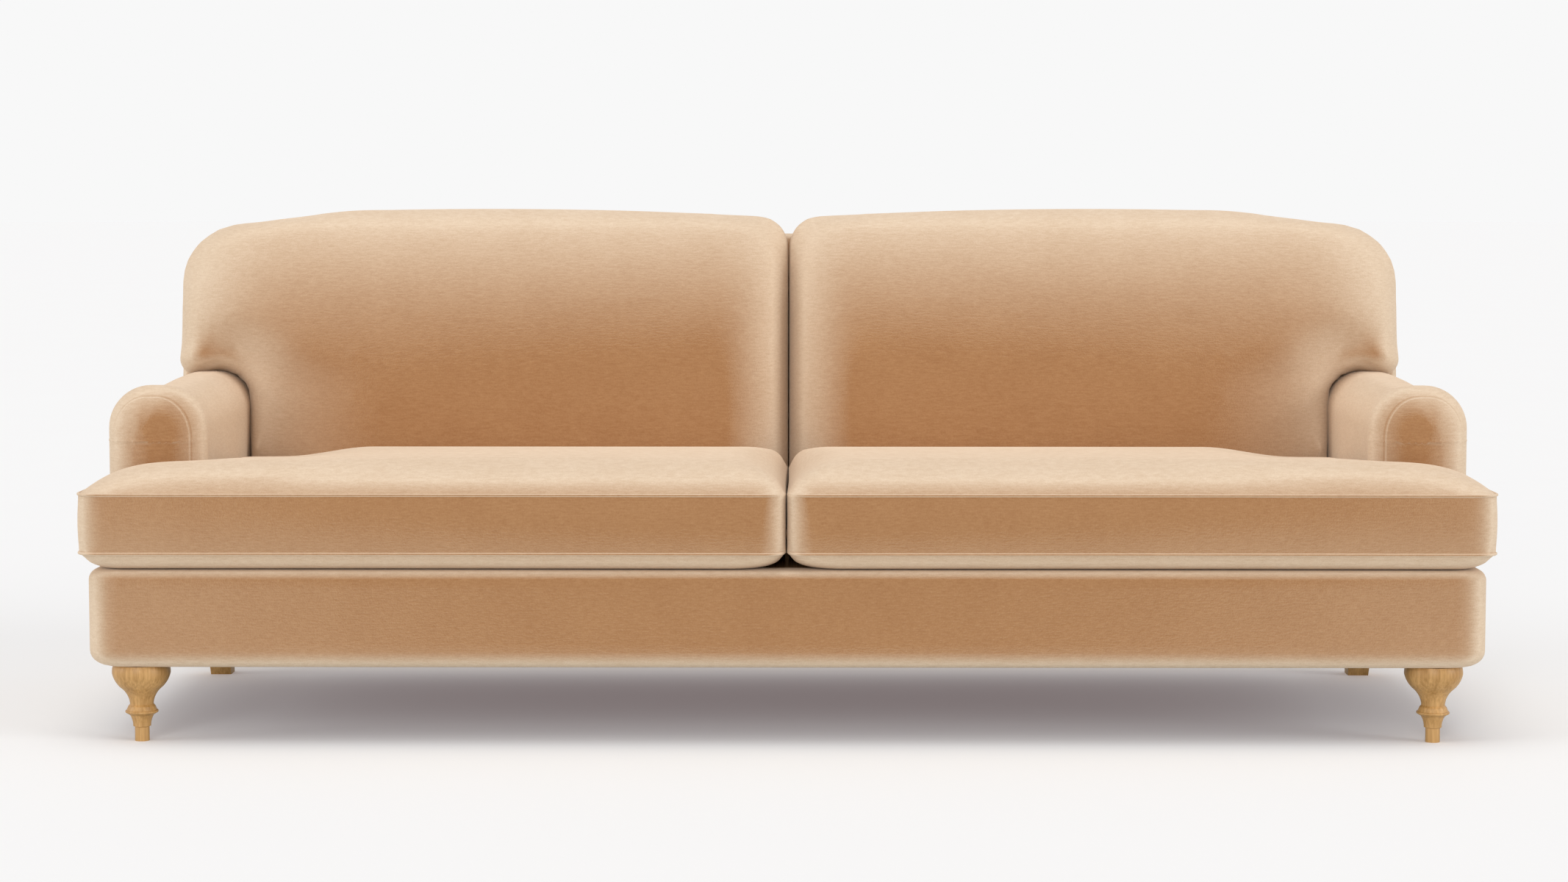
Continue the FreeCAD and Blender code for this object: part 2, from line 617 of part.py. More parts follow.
def seat_corners(height):
    """Right seat cushion in plan, counter-clockwise from its inner front corner; its corners draw up more
    under the lower welt, and it stays tight along the arm."""
    back = seat_back_y(height)
    gathered = 1.1 if height < LOWER_WELT else 0.2
    return [
        (CENTRE_GAP, FRONT_Y, SEAT_CORNER_R, gathered, 3.0, 1.0),
        (SEAT_OUT_X, FRONT_Y, SEAT_CORNER_R, 0.0, 0.0, 1.0),
        (SEAT_OUT_X, EAR_BACK_Y, SEAT_CORNER_R - 6, 0.0, 0.0, 0.6),
        (SEAT_SIDE_X, EAR_BACK_Y, 14.0, 0.9, 2.0, 0.6),
        (SEAT_SIDE_X, back, SEAT_CORNER_R, 0.2, 0.0, 1.0),
        (CENTRE_GAP, back, SEAT_CORNER_R, 0.2, 2.0, 0.8),
    ]


def seat_crown_corners(height):
    """The part of the seat cushion that swells above the ear, behind and beside it."""
    back = seat_back_y(height)
    return [
        (CENTRE_GAP, FRONT_Y, SEAT_CORNER_R, 0.4, 0.0, 1.0),
        (SEAT_SIDE_X, FRONT_Y, SEAT_CORNER_R, 0.4, 0.0, 0.6),
        (SEAT_SIDE_X, back, SEAT_CORNER_R, 0.4, 0.0, 1.0),
        (CENTRE_GAP, back, SEAT_CORNER_R, 0.4, 0.0, 0.8),
    ]


def seat_form(within=0.0):
    """Flat-bottomed boxed cushion: lower crown, boxing between its two welts, upper crown and swell."""
    bottom = SEAT_BOTTOM + within
    top, crown = EAR_TOP - within, SEAT_CROWN - within
    lower = [(bottom, 34.0), (bottom + 5, 20.0), (bottom + 14, 8.0), (LOWER_WELT, 0.0)]
    boxing = [(LOWER_WELT, 0.0), (UPPER_WELT, 0.0)]
    upper = [(UPPER_WELT, 0.0), (UPPER_WELT + 13, 6.0), (UPPER_WELT + 27, 19.0), (top, 42.0)]
    swell = [(top, 43.0), (top + 4, 95.0), (crown, 165.0)]
    form = None
    for corners_at, levels in (
        (seat_corners, lower),
        (seat_corners, boxing),
        (seat_corners, upper),
        (seat_crown_corners, swell),
    ):
        wires = [rounded_outline(corners_at(h), inset, h, within) for h, inset in levels]
        band = lofted(wires, ruled=len(levels) == 2)
        form = form.fuse(band) if form else band
    return form


# Back cushions: an outer ear sits over the arm, and the notch follows the arm's roll

BACK_CUSHION_REAR = BACK_THICKNESS + SEWN_GAP
EAR_SEAT_Z = ARM_TOP - ARM_BACK_DIP + 1.5
EAR_V = (EAR_SEAT_Z - BASE_TOP - (BACK_CUSHION_REAR + 46.0) * RAKE_SIN) / RAKE_COS
CUSHION_FOOT_V = 2.0
BACK_CUSHION_GAP = CENTRE_GAP + 1.0
NOTCH_X = ARM_IN_X - 1.0


def back_cushion_corners(height):
    """Right back cushion seen square on, counter-clockwise from its lower inner corner. It is pressed
    along the arm and over it, and its top slopes from the shoulder to the outer corner."""
    return [
        (BACK_CUSHION_GAP, CUSHION_FOOT_V, 40.0, 0.0, 0.0, 0.5),
        (NOTCH_X, CUSHION_FOOT_V, 40.0, 0.0, 0.0, PRESSED),
        (NOTCH_X, EAR_V, ARM_ROLL_R, 0.0, 0.0, PRESSED),
        (BACK_CUSHION_HALF_WIDTH, EAR_V, 28.0, 0.0, 0.0, 1.0),
        (BACK_CUSHION_HALF_WIDTH, BACK_SHOULDER_END, BACK_CUSHION_OUTER_R, -0.55, 0.0, 1.0),
        (*BACK_SHOULDER, 900.0, 0.0, -6.5, 1.0),
        (BACK_CUSHION_GAP, BACK_CUSHION_HEIGHT, BACK_CUSHION_INNER_R, 0.0, 0.0, 0.8),
    ]


def back_cushion_form(within=0.0):
    """Plump cushion, nearly flat behind and rounding far over its edges in front."""
    rear = BACK_CUSHION_REAR
    levels = [
        (rear, 40.0),
        (rear + 14, 16.0),
        (rear + 46, 1.0),
        (rear + 90, 0.0),
        (rear + 128, 11.0),
        (rear + 158, 34.0),
        (rear + 180, 63.0),
        (rear + BACK_CUSHION_THICKNESS, 96.0),
    ]
    return placed(padded_form(back_cushion_corners, levels, within), RAKED)


# Zips: a tape behind the cover, a chain in the slot, and a slider that runs along it

def zip_pieces(at):
    """(slot in the cover, recess in the filling, zip, slider) on a frame whose X runs along the zip and
    whose Z points out of the cushion from its surface."""
    half = ZIP_LENGTH / 2
    slot = block(-half, half, -ZIP_SLOT / 2, ZIP_SLOT / 2, -COVER - 6, 12)
    recess = block(-half - 20, half + 20, -16, 16, -COVER - 3, 12)
    tape = block(-half - 15, half + 15, -13, 13, -COVER - 2.4, -COVER - 0.8)
    chain = block(-half + 4, half - 4, -3, 3, -COVER - 0.8, -0.4)
    start = -half + 8
    body = block(start, start + 12, -5, 5, -0.2, 2.6)
    bridge = block(start + 3, start + 9, -2, 2, 2.6, 3.6)
    pull = block(start + 4, start + 28, -3, 3, 3.6, 4.8)
    slider = body.fuse(bridge).fuse(pull)
    return [placed(piece, at) for piece in (slot, recess, tape.fuse(chain), slider)]


def add_cushion(name, form_at, zip_at):
    """A cushion's cover, filling, zip and slider, right and left."""
    slot, recess, zip_strip, slider = zip_pieces(zip_at)
    add_pair(name + "_cover", form_at().cut(form_at(COVER)).cut(slot))
    add_pair(name + "_core", form_at(COVER + FILLING_GAP).cut(recess))
    add_pair(name + "_zip", zip_strip)
    add_pair(name + "_zip_slider", slider)


seat_middle_x = (CENTRE_GAP + SEAT_SIDE_X) / 2
boxing_middle_z = (LOWER_WELT + UPPER_WELT) / 2
seat_zip_at = Placement(
    Vector(seat_middle_x, seat_back_y(boxing_middle_z), boxing_middle_z),
    Rotation(Vector(1, 0, 0), -90 - BACK_RAKE),
)
add_cushion("seat_cushion", seat_form, seat_zip_at)

back_zip_at = RAKED.multiply(Placement(
    Vector((BACK_CUSHION_GAP + NOTCH_X) / 2, CUSHION_FOOT_V, BACK_CUSHION_REAR + 70.0),
    Rotation(Vector(1, 0, 0), 90),
))
add_cushion("back_cushion", back_cushion_form, back_zip_at)

os.makedirs("parts", exist_ok=True)
for name, shape in sorted(parts.items()):
    state = "valid" if shape.isValid() else "NOT VALID"
    print(f"{name:34s} {state} solids {len(shape.Solids)} volume {shape.Volume / 1e6:9.3f} litres")
    shape.exportStep(f"parts/{name}.step")
print(len(parts), "nodes")
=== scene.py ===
# %% [markdown]
# # A velvet roll arm sofa, upholstered round its own frame
#
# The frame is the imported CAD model: rails, posts, feet and the solids that hold the room of each soft piece.
# This lesson dresses it the way an upholsterer does, from the base up: border, arms, back, then the loose
# cushions. Hard parts keep their CAD shapes and get a finish. Soft parts are made again as fabric, because
# a solid with sharp lofted edges never looks stuffed. All sizes are in metres unless a comment says otherwise.

# %% Load the frame
import contextlib
import json
import math

import bmesh
import bpy
from mathutils import Matrix, Vector


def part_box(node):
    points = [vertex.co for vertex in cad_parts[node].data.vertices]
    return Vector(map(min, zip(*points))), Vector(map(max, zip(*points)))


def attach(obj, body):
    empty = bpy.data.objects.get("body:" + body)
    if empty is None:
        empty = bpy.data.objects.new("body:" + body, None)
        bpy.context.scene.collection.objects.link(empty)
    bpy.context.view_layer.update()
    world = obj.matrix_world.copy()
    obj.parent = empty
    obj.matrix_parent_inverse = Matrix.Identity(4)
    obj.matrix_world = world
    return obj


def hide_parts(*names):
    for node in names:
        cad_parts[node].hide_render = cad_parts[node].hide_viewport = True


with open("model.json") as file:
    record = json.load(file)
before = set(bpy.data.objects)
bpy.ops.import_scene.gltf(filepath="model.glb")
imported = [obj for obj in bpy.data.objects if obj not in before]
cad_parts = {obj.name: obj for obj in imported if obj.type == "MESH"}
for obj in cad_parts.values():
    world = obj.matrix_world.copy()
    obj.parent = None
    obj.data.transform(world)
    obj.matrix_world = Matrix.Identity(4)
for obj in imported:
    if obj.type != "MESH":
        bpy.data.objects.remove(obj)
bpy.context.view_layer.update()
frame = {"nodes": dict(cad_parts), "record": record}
nodes = frame["nodes"]
scene = bpy.context.scene
scene.view_settings.view_transform = "Standard"

# %% [markdown]
# ## Camera
#
# The photograph was taken from about six metres with a long lens, a little above the back's top edge and
# tipped down. A long lens keeps the arms nearly as large as the cushions in front of them. The picture is
# 2133 pixels wide, so the lens follows from the focal length in pixels; no shift is needed. A camera that
# tracks the sofa would be quicker to place, but then nobody could read its tilt from the script.

# %% Camera
PICTURE_WIDTH = 2133
FOCAL_PIXELS = 4453.0
SENSOR_WIDTH = 36.0  # millimetres
FRONT_Y = -0.490
CAMERA_X, CAMERA_DISTANCE, CAMERA_HEIGHT = 0.034, 5.571, 0.9695
CAMERA_PITCH, CAMERA_YAW = math.radians(4.49), math.radians(0.39)

lens = bpy.data.cameras.new("studio_camera")
lens.sensor_fit = "HORIZONTAL"
lens.sensor_width = SENSOR_WIDTH
lens.lens = FOCAL_PIXELS / PICTURE_WIDTH * SENSOR_WIDTH
camera = bpy.data.objects.new("studio_camera", lens)
camera.location = (CAMERA_X, FRONT_Y - CAMERA_DISTANCE, CAMERA_HEIGHT)
camera.rotation_euler = (math.pi / 2 - CAMERA_PITCH, 0, CAMERA_YAW)
scene.collection.objects.link(camera)
scene.camera = camera
print(f"lens {lens.lens:.1f} mm")

# %% [markdown]
# ## Small helpers for materials
#
# Colours are written as the hex values a picture editor shows, and Blender mixes light in linear values, so
# one function turns one into the other. A second small function adds a node, sets it and links it, which
# keeps each material readable as a short list of what it is made of.

# %% Colour and node helpers
def linear(hex_colour):
    """An sRGB hex colour as linear red, green, blue and full alpha."""
    channels = [int(hex_colour[i:i + 2], 16) / 255 for i in (1, 3, 5)]
    return tuple(c / 12.92 if c <= 0.04045 else ((c + 0.055) / 1.055) ** 2.4 for c in channels) + (1.0,)


def add(tree, kind, inputs=None, **settings):
    """A new node with its settings; each input is a value, or the socket that feeds it."""
    node = tree.nodes.new(kind)
    for name, value in settings.items():
        setattr(node, name, value)
    for name, value in (inputs or {}).items():
        if isinstance(value, bpy.types.NodeSocket):
            tree.links.new(value, node.inputs[name])
        else:
            node.inputs[name].default_value = value
    return node


def new_material(name):
    """An empty node material: its tree and its output node."""
    material = bpy.data.materials.new(name)
    material.use_nodes = True
    material.node_tree.nodes.clear()
    return material, material.node_tree, material.node_tree.nodes.new("ShaderNodeOutputMaterial")


def grain_size(millimetres):
    """Noise scale whose features are about this size on the object."""
    return 1000.0 / millimetres


print(f"middle grey in linear light: {linear('#808080')[0]:.3f}")

# %% [markdown]
# ## Velvet
#
# The cover is a short-pile cotton velvet: upright fibres on a plain woven back. Seen along the fibres it is
# deep tan; seen across them, wherever a roll turns away from the eye, the fibre tips catch light and it turns
# pale. That is sheen. The shader's sheen sockets alone give only a thin rim, and this pile pales well before
# the edge, so the sheen is painted into the base colour as well: Layer Weight mixes a pale painted-sheen tone
# over the deep colour of the roots, and a little of the shader's own sheen adds the last light. The weave
# shows through as short level threads, and the pile lies unevenly in soft patches a hand's breadth wide. Real
# threads are under half a millimetre, too fine for the picture, so they are drawn 3 mm wide.

# %% Velvet: weave and pile
THREAD_LENGTH, THREAD_WIDTH, PILE_GRAIN, PATCH_SIZE = 14.0, 3.0, 2.6, 95.0  # millimetres
PATCH_SHARE = 0.35

velvet, tree, out = new_material("cotton_velvet_tan")
place = add(tree, "ShaderNodeTexCoord").outputs["Object"]
stretch = add(tree, "ShaderNodeMapping", {
    "Vector": place,
    "Scale": (grain_size(THREAD_LENGTH), grain_size(THREAD_LENGTH), grain_size(THREAD_WIDTH)),
})
threads = add(tree, "ShaderNodeTexNoise", {
    "Vector": stretch.outputs["Vector"], "Scale": 1.0, "Detail": 1.0,
})
pile = add(tree, "ShaderNodeTexNoise", {"Vector": place, "Scale": grain_size(PILE_GRAIN), "Detail": 2.0})
patches = add(tree, "ShaderNodeTexNoise", {"Vector": place, "Scale": grain_size(PATCH_SIZE), "Detail": 1.0})
texture = add(tree, "ShaderNodeMath", {0: threads.outputs["Fac"], 1: pile.outputs["Fac"]}, operation="ADD")
patched = add(tree, "ShaderNodeMath", {
    0: patches.outputs["Fac"], 1: PATCH_SHARE, 2: texture.outputs[0],
}, operation="MULTIPLY_ADD")
depth = add(tree, "ShaderNodeMapRange", {"Value": patched.outputs[0], "From Min": 0.75, "From Max": 1.6})
relief = add(tree, "ShaderNodeBump", {"Height": texture.outputs[0], "Strength": 0.25, "Distance": 0.0006})
print(f"velvet: threads drawn {THREAD_WIDTH} mm wide, patches {PATCH_SIZE} mm")

# %% Velvet: tone and sheen
# The second pair of tones is painted sheen: the pale colour that the base takes where a roll turns from the eye.
PILE_ROOTS, PAINTED_SHEEN_TONES = ("#9d704a", "#ad825a"), ("#d2b89c", "#e1cbb2")
PAINTED_SHEEN_FROM, PAINTED_SHEEN_FULL, PAINTED_SHEEN_CURVE = 0.012, 0.36, 0.62

# Cotton velvet gives the eye a matt, deep face and a pale, soft edge on every roll. The pale edge is painted
# sheen: Layer Weight mixes the pale tones into the base colour where a roll turns from the eye.
roots, painted_sheen_tone = [
    add(tree, "ShaderNodeMix", {
        "Factor": depth.outputs["Result"], "A": linear(deep), "B": linear(pale),
    }, data_type="RGBA").outputs["Result"]
    for deep, pale in (PILE_ROOTS, PAINTED_SHEEN_TONES)
]
across = add(tree, "ShaderNodeLayerWeight", {"Blend": 0.5, "Normal": relief.outputs["Normal"]})
leaning = add(tree, "ShaderNodeMapRange", {
    "Value": across.outputs["Facing"], "From Min": PAINTED_SHEEN_FROM, "From Max": PAINTED_SHEEN_FULL,
})
sheen = add(tree, "ShaderNodeMath", {0: leaning.outputs["Result"], 1: PAINTED_SHEEN_CURVE}, operation="POWER")
shade = add(tree, "ShaderNodeMix", {"Factor": sheen.outputs[0], "A": roots, "B": painted_sheen_tone}, data_type="RGBA")
cloth = add(tree, "ShaderNodeBsdfPrincipled", {
    "Base Color": shade.outputs["Result"], "Normal": relief.outputs["Normal"], "Roughness": 0.85,
    "Specular IOR Level": 0.15, "Sheen Weight": 0.35, "Sheen Roughness": 0.4,
    "Sheen Tint": linear("#ffe9d2"),
})
tree.links.new(cloth.outputs["BSDF"], out.inputs["Surface"])
print("velvet:", len(tree.nodes), "nodes")

# %% [markdown]
# ## Oak and frame timber
#
# The feet are turned from oak and oiled: a golden ground with darker grain that runs up the foot. The hidden
# frame is plain sawn beech. Rings of growth could be cut through with a wave texture, but noise drawn out
# along one axis gives the streaks of a sawn board at once, and each board can have them along its own length.

# %% Wood materials
GRAIN_WIDTH, GRAIN_LENGTH = 3.5, 90.0  # millimetres
BEECH_PALE, BEECH_DARK = "#d9bd97", "#b9946a"


def timber(name, pale, dark, along, roughness):
    """Timber whose grain runs along one axis."""
    material, tree, out = new_material(name)
    place = add(tree, "ShaderNodeTexCoord").outputs["Object"]
    scale = [grain_size(GRAIN_WIDTH)] * 3
    scale["XYZ".index(along)] = grain_size(GRAIN_LENGTH)
    stretched = add(tree, "ShaderNodeMapping", {"Vector": place, "Scale": scale}).outputs["Vector"]
    grain = add(tree, "ShaderNodeTexNoise", {"Vector": stretched, "Scale": 1.0, "Detail": 3.0})
    figure = add(tree, "ShaderNodeTexNoise", {"Vector": stretched, "Scale": 0.16, "Detail": 1.0})
    both = add(tree, "ShaderNodeMath", {0: figure.outputs["Fac"], 1: 0.8, 2: grain.outputs["Fac"]},
               operation="MULTIPLY_ADD")
    depth = add(tree, "ShaderNodeMapRange", {"Value": both.outputs[0], "From Min": 0.62, "From Max": 1.2})
    tone = add(tree, "ShaderNodeMix", {
        "Factor": depth.outputs["Result"], "A": linear(dark), "B": linear(pale),
    }, data_type="RGBA")
    relief = add(tree, "ShaderNodeBump", {
        "Height": grain.outputs["Fac"], "Strength": 0.2, "Distance": 0.0004,
    })
    surface = add(tree, "ShaderNodeBsdfPrincipled", {
        "Base Color": tone.outputs["Result"], "Normal": relief.outputs["Normal"],
        "Roughness": roughness, "IOR": 1.5,
    })
    tree.links.new(surface.outputs["BSDF"], out.inputs["Surface"])
    return material


# Oiled oak: golden, streaked up the foot, with a low soft gloss.
oak = timber("oiled_oak", "#d2a468", "#a67a41", "Z", 0.42)
# Sawn beech: paler and dry, one for each way that a board lies.
beech_across = timber("sawn_beech_across", BEECH_PALE, BEECH_DARK, "X", 0.7)
beech_along = timber("sawn_beech_along", BEECH_PALE, BEECH_DARK, "Y", 0.7)
beech_upright = timber("sawn_beech_upright", BEECH_PALE, BEECH_DARK, "Z", 0.7)
print("timber:", ", ".join(wood.name for wood in (oak, beech_across, beech_along, beech_upright)))

# %% [markdown]
# ## Cloth inside, zips and steel
#
# The cushions lift out and the sofa can be seen from below, so what is inside has its own finish too: calico
# over the deck and the wadding, black cambric under the seat, elastic webbing, woven zip tapes, and zinc plated
# bolts and zip sliders. Cloth could be modelled thread by thread, but two waves that cross give its grid at
# once, each wave taking in about two threads, one over and one under. Real threads are finer than the picture
# can show, so they are drawn 1.6 to 3 mm wide.

# %% Woven and metal materials
WAVE_TURN = 6.283
SLUB_SIZE, SCUFF_SIZE = 30.0, 1.5  # millimetres


def woven(name, pale, dark, thread, roughness):
    """Plain cloth: two sets of threads crossing, with thicker slubs here and there."""
    material, tree, out = new_material(name)
    place = add(tree, "ShaderNodeTexCoord").outputs["Object"]
    waves = [
        add(tree, "ShaderNodeTexWave", {
            "Vector": place, "Scale": grain_size(thread) / WAVE_TURN, "Distortion": 0.4,
        }, bands_direction=axis).outputs["Fac"]
        for axis in ("X", "Y")
    ]
    cross = add(tree, "ShaderNodeMath", {0: waves[0], 1: waves[1]}, operation="ADD")
    slubs = add(tree, "ShaderNodeTexNoise", {"Vector": place, "Scale": grain_size(SLUB_SIZE), "Detail": 3.0})
    mixed = add(tree, "ShaderNodeMath", {0: cross.outputs[0], 1: 0.5, 2: slubs.outputs["Fac"]},
                operation="MULTIPLY_ADD")
    depth = add(tree, "ShaderNodeMapRange", {"Value": mixed.outputs[0], "From Min": 0.3, "From Max": 1.5})
    tone = add(tree, "ShaderNodeMix", {
        "Factor": depth.outputs["Result"], "A": linear(dark), "B": linear(pale),
    }, data_type="RGBA")
    relief = add(tree, "ShaderNodeBump", {"Height": cross.outputs[0], "Strength": 0.3, "Distance": 0.0005})
    surface = add(tree, "ShaderNodeBsdfPrincipled", {
        "Base Color": tone.outputs["Result"], "Normal": relief.outputs["Normal"], "Roughness": roughness,
        "Specular IOR Level": 0.2,
    })
    tree.links.new(surface.outputs["BSDF"], out.inputs["Surface"])
    return material


# Calico is plain and tan, cambric black and flat, webbing dark and coarse, zip tape tan and a little smoother.
deck_cloth = woven("calico_deck_cloth", "#b58d66", "#93704c", 2.5, 0.9)
cambric = woven("black_cambric", "#3a3836", "#242322", 2.0, 0.85)
webbing = woven("elastic_webbing", "#4a4743", "#2c2a28", 3.0, 0.8)
zip_tape = woven("woven_zip_tape", "#b88e66", "#8f6b47", 1.6, 0.7)

# Zinc plating: a grey metal, bright where it is new and duller where it is scuffed.
steel, tree, out = new_material("zinc_plated_steel")
place = add(tree, "ShaderNodeTexCoord").outputs["Object"]
scuffs = add(tree, "ShaderNodeTexNoise", {"Vector": place, "Scale": grain_size(SCUFF_SIZE), "Detail": 4.0})
wear = add(tree, "ShaderNodeMapRange", {"Value": scuffs.outputs["Fac"], "To Min": 0.28, "To Max": 0.5})
tint = add(tree, "ShaderNodeMix", {
    "Factor": scuffs.outputs["Fac"], "A": linear("#8f9194"), "B": linear("#b9babb"),
}, data_type="RGBA")
plate = add(tree, "ShaderNodeBsdfPrincipled", {
    "Base Color": tint.outputs["Result"], "Roughness": wear.outputs["Result"], "Metallic": 1.0,
})
tree.links.new(plate.outputs["BSDF"], out.inputs["Surface"])
print("materials:", len(bpy.data.materials))

# %% Finishes on the frame's own parts
FINISHES = {
    "oak": oak, "frame_wood": beech_across, "webbing": webbing, "dust_cover": cambric, "zip_tape": zip_tape,
    "steel": steel, "velvet": velvet, "padding": deck_cloth, "cushion_filling": deck_cloth,
    "deck_cloth": deck_cloth,
}
UPRIGHT_BOARDS, LONG_BOARDS = ("post", "stump", "panel"), ("side_rail", "arm_", "cross")

for subpart in frame["record"]["subparts"]:
    node, finish = subpart["node"], FINISHES[subpart["material_slot"]]
    if finish is beech_across and any(word in node for word in UPRIGHT_BOARDS):
        finish = beech_upright
    elif finish is beech_across and any(word in node for word in LONG_BOARDS):
        finish = beech_along
    mesh = nodes[node].data
    mesh.materials.clear()
    mesh.materials.append(finish)

# %% [markdown]
# ## How a cover is drawn over a form
#
# Most of the fixed upholstery is a rounded outline drawn over an edge: the base's border, the arm's roll, the
# back. One loop of edges can make all of them. It starts as a few corner points whose corners are bevelled
# round, and is then extruded from level to level while it shrinks a little, as cloth does over a rounded
# edge. A box with bevelled edges would be quicker, but its flat faces have no points to bend with.

# %% Outline helpers
FEWEST_SEGMENTS = 4


def outline(corners, spacing):
    """A bmesh with one closed loop of edges from corner points (x, y, radius), counter-clockwise."""
    bm = bmesh.new()
    verts = [bm.verts.new((x, y, 0)) for x, y, _ in corners]
    bm.faces.new(verts)
    for vert, (_, _, radius) in zip(verts, corners):
        bmesh.ops.bevel(
            bm, geom=[vert], offset=radius, offset_type="OFFSET", affect="VERTICES",
            segments=max(FEWEST_SEGMENTS, round(radius * math.pi / 2 / spacing)), profile=0.5, material=-1,
        )
    for edge in bm.edges[:]:
        cuts = int(edge.calc_length() / spacing)
        if cuts:
            bmesh.ops.subdivide_edges(bm, edges=[edge], cuts=cuts)
    bmesh.ops.delete(bm, geom=bm.faces[:], context="FACES_ONLY")
    return bm


def plan(low, high, radius):
    """A box seen from above: its rounded corners, its middle and its half size."""
    corners = [(low.x, low.y, radius), (high.x, low.y, radius), (high.x, high.y, radius), (low.x, high.y, radius)]
    middle = ((high.x + low.x) / 2, (high.y + low.y) / 2)
    return corners, middle, ((high.x - low.x) / 2, (high.y - low.y) / 2)


# %% Cover helpers
def draw_over(bm, levels, pivot, half):
    """Extrudes the loop through (height, inset) levels; half is the loop's half size about the pivot."""
    ring, verts = bm.edges[:], bm.verts[:]
    height, inset = 0.0, 0.0
    to_pivot = Matrix.Translation((-pivot[0], -pivot[1], 0))
    for step, (next_height, next_inset) in enumerate(levels):
        if step:
            made = bmesh.ops.extrude_edge_only(bm, edges=ring)["geom"]
            ring = [item for item in made if isinstance(item, bmesh.types.BMEdge)]
            verts = [item for item in made if isinstance(item, bmesh.types.BMVert)]
        grow = [(h - next_inset) / (h - inset) for h in half]
        bmesh.ops.scale(bm, vec=(*grow, 1), space=to_pivot, verts=verts)
        bmesh.ops.translate(bm, vec=(0, 0, next_height - height), verts=verts)
        height, inset = next_height, next_inset
    return ring


def quarter_round(from_height, from_inset, to_height, to_inset, steps, outwards):
    """Levels along a quarter round: outwards it leaves its first level flat, otherwise upright."""
    rows = []
    for step in range(1, steps + 1):
        turn = math.pi / 2 * step / steps
        flat, upright = math.sin(turn), 1 - math.cos(turn)
        if not outwards:
            flat, upright = upright, flat
        rows.append((from_height + (to_height - from_height) * upright,
                     from_inset + (to_inset - from_inset) * flat))
    return rows


def finished_piece(name, bm, material):
    """The bmesh as an object at the origin, its normals outwards and its shading smooth."""
    bmesh.ops.remove_doubles(bm, verts=bm.verts[:], dist=1e-5)
    bmesh.ops.recalc_face_normals(bm, faces=bm.faces[:])
    mesh = bpy.data.meshes.new(name)
    bm.to_mesh(mesh)
    bm.free()
    mesh.shade_smooth()
    mesh.materials.append(material)
    piece = bpy.data.objects.new(name, mesh)
    scene.collection.objects.link(piece)
    print(f"{name}: {len(mesh.polygons)} faces")
    return piece


# %% [markdown]
# ## Base
#
# The base is a timber box under wadding with one border of velvet round it, rounded fully under the bottom
# edge and more tightly at the top, where the cushions rest. The border turns in under the rails and on top
# to a lip; the sprung deck fills the middle. The opening for the deck is cut with four planes and deleted,
# because a boolean would leave long thin faces in the round corners.

# %% Base border: its rounds
BASE_LOW, BASE_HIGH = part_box("base_cover")
BASE_BOTTOM, BASE_TOP = BASE_LOW.z, BASE_HIGH.z
BASE_CORNER_R, BASE_BOTTOM_R, BASE_TOP_R = 0.045, 0.030, 0.017
LIP_WIDTH, LIP_TURN = 0.040, 0.004
TOP_INSETS = (0.022, 0.040, 0.058)
BORDER_SPACING, BORDER_RINGS = 0.014, 8

corners, middle, half = plan(BASE_LOW, BASE_HIGH, BASE_CORNER_R)
bm = outline(corners, BORDER_SPACING)
levels = [(BASE_BOTTOM + LIP_TURN, LIP_WIDTH), (BASE_BOTTOM, LIP_WIDTH - LIP_TURN), (BASE_BOTTOM, BASE_BOTTOM_R)]
levels += quarter_round(BASE_BOTTOM, BASE_BOTTOM_R, BASE_BOTTOM + BASE_BOTTOM_R, 0.0, 7, outwards=True)
straight = BASE_TOP - BASE_TOP_R - BASE_BOTTOM - BASE_BOTTOM_R
levels += [
    (BASE_BOTTOM + BASE_BOTTOM_R + straight * ring / BORDER_RINGS, 0.0) for ring in range(1, BORDER_RINGS + 1)
]
levels += quarter_round(BASE_TOP - BASE_TOP_R, 0.0, BASE_TOP, BASE_TOP_R, 6, outwards=False)
levels += [(BASE_TOP, inset) for inset in TOP_INSETS]
last_ring = draw_over(bm, levels, middle, half)
bmesh.ops.contextual_create(bm, geom=last_ring)
bmesh.ops.recalc_face_normals(bm, faces=bm.faces[:])
print(f"base border: {len(levels)} rings, {straight * 1000:.0f} mm straight")

# %% Base border: the opening for the deck
DECK_LOW, DECK_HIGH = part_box("seat_deck_pad")
NEAR_TOP, LEVEL_NORMAL = 0.001, 0.99


def top_faces():
    """The level faces on top of the base."""
    return [
        face for face in bm.faces
        if face.normal.z > LEVEL_NORMAL and face.calc_center_median().z > BASE_TOP - NEAR_TOP
    ]


def over_deck(point):
    """Whether a point lies over the deck."""
    return DECK_LOW.x < point.x < DECK_HIGH.x and DECK_LOW.y < point.y < DECK_HIGH.y


for across_plane in ((1, 0, 0), (0, 1, 0)):
    for corner in (DECK_LOW, DECK_HIGH):
        around = dict.fromkeys(item for face in top_faces() for item in (face, *face.edges, *face.verts))
        bmesh.ops.bisect_plane(bm, geom=list(around), plane_co=corner, plane_no=across_plane)
opening = [face for face in top_faces() if over_deck(face.calc_center_median())]
bmesh.ops.delete(bm, geom=opening, context="FACES")
base = finished_piece("base_border", bm, velvet)
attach(base, "frame")
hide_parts("base_cover")

# %% [markdown]
# ## Deck
#
# Under the loose cushions a sofa has plain cloth over felt, stretched on the webbing. It is only seen when a
# cushion is lifted, so it is a shallow pad with a soft edge and a slight crown, drawn over like the border.
# Cloth pressure could blow it up, but a deck is pulled tight and hardly swells.

# %% Deck pad
DECK_EDGE_R, DECK_SPACING = 0.012, 0.03
DECK_ROUND_INSET, DECK_ROUND_DROP = 0.010, 0.004
DECK_CROWN = ((0.0025, 0.04), (0.001, 0.09), (0.0, 0.16), (0.0, 0.24))  # drop below the crown, inset

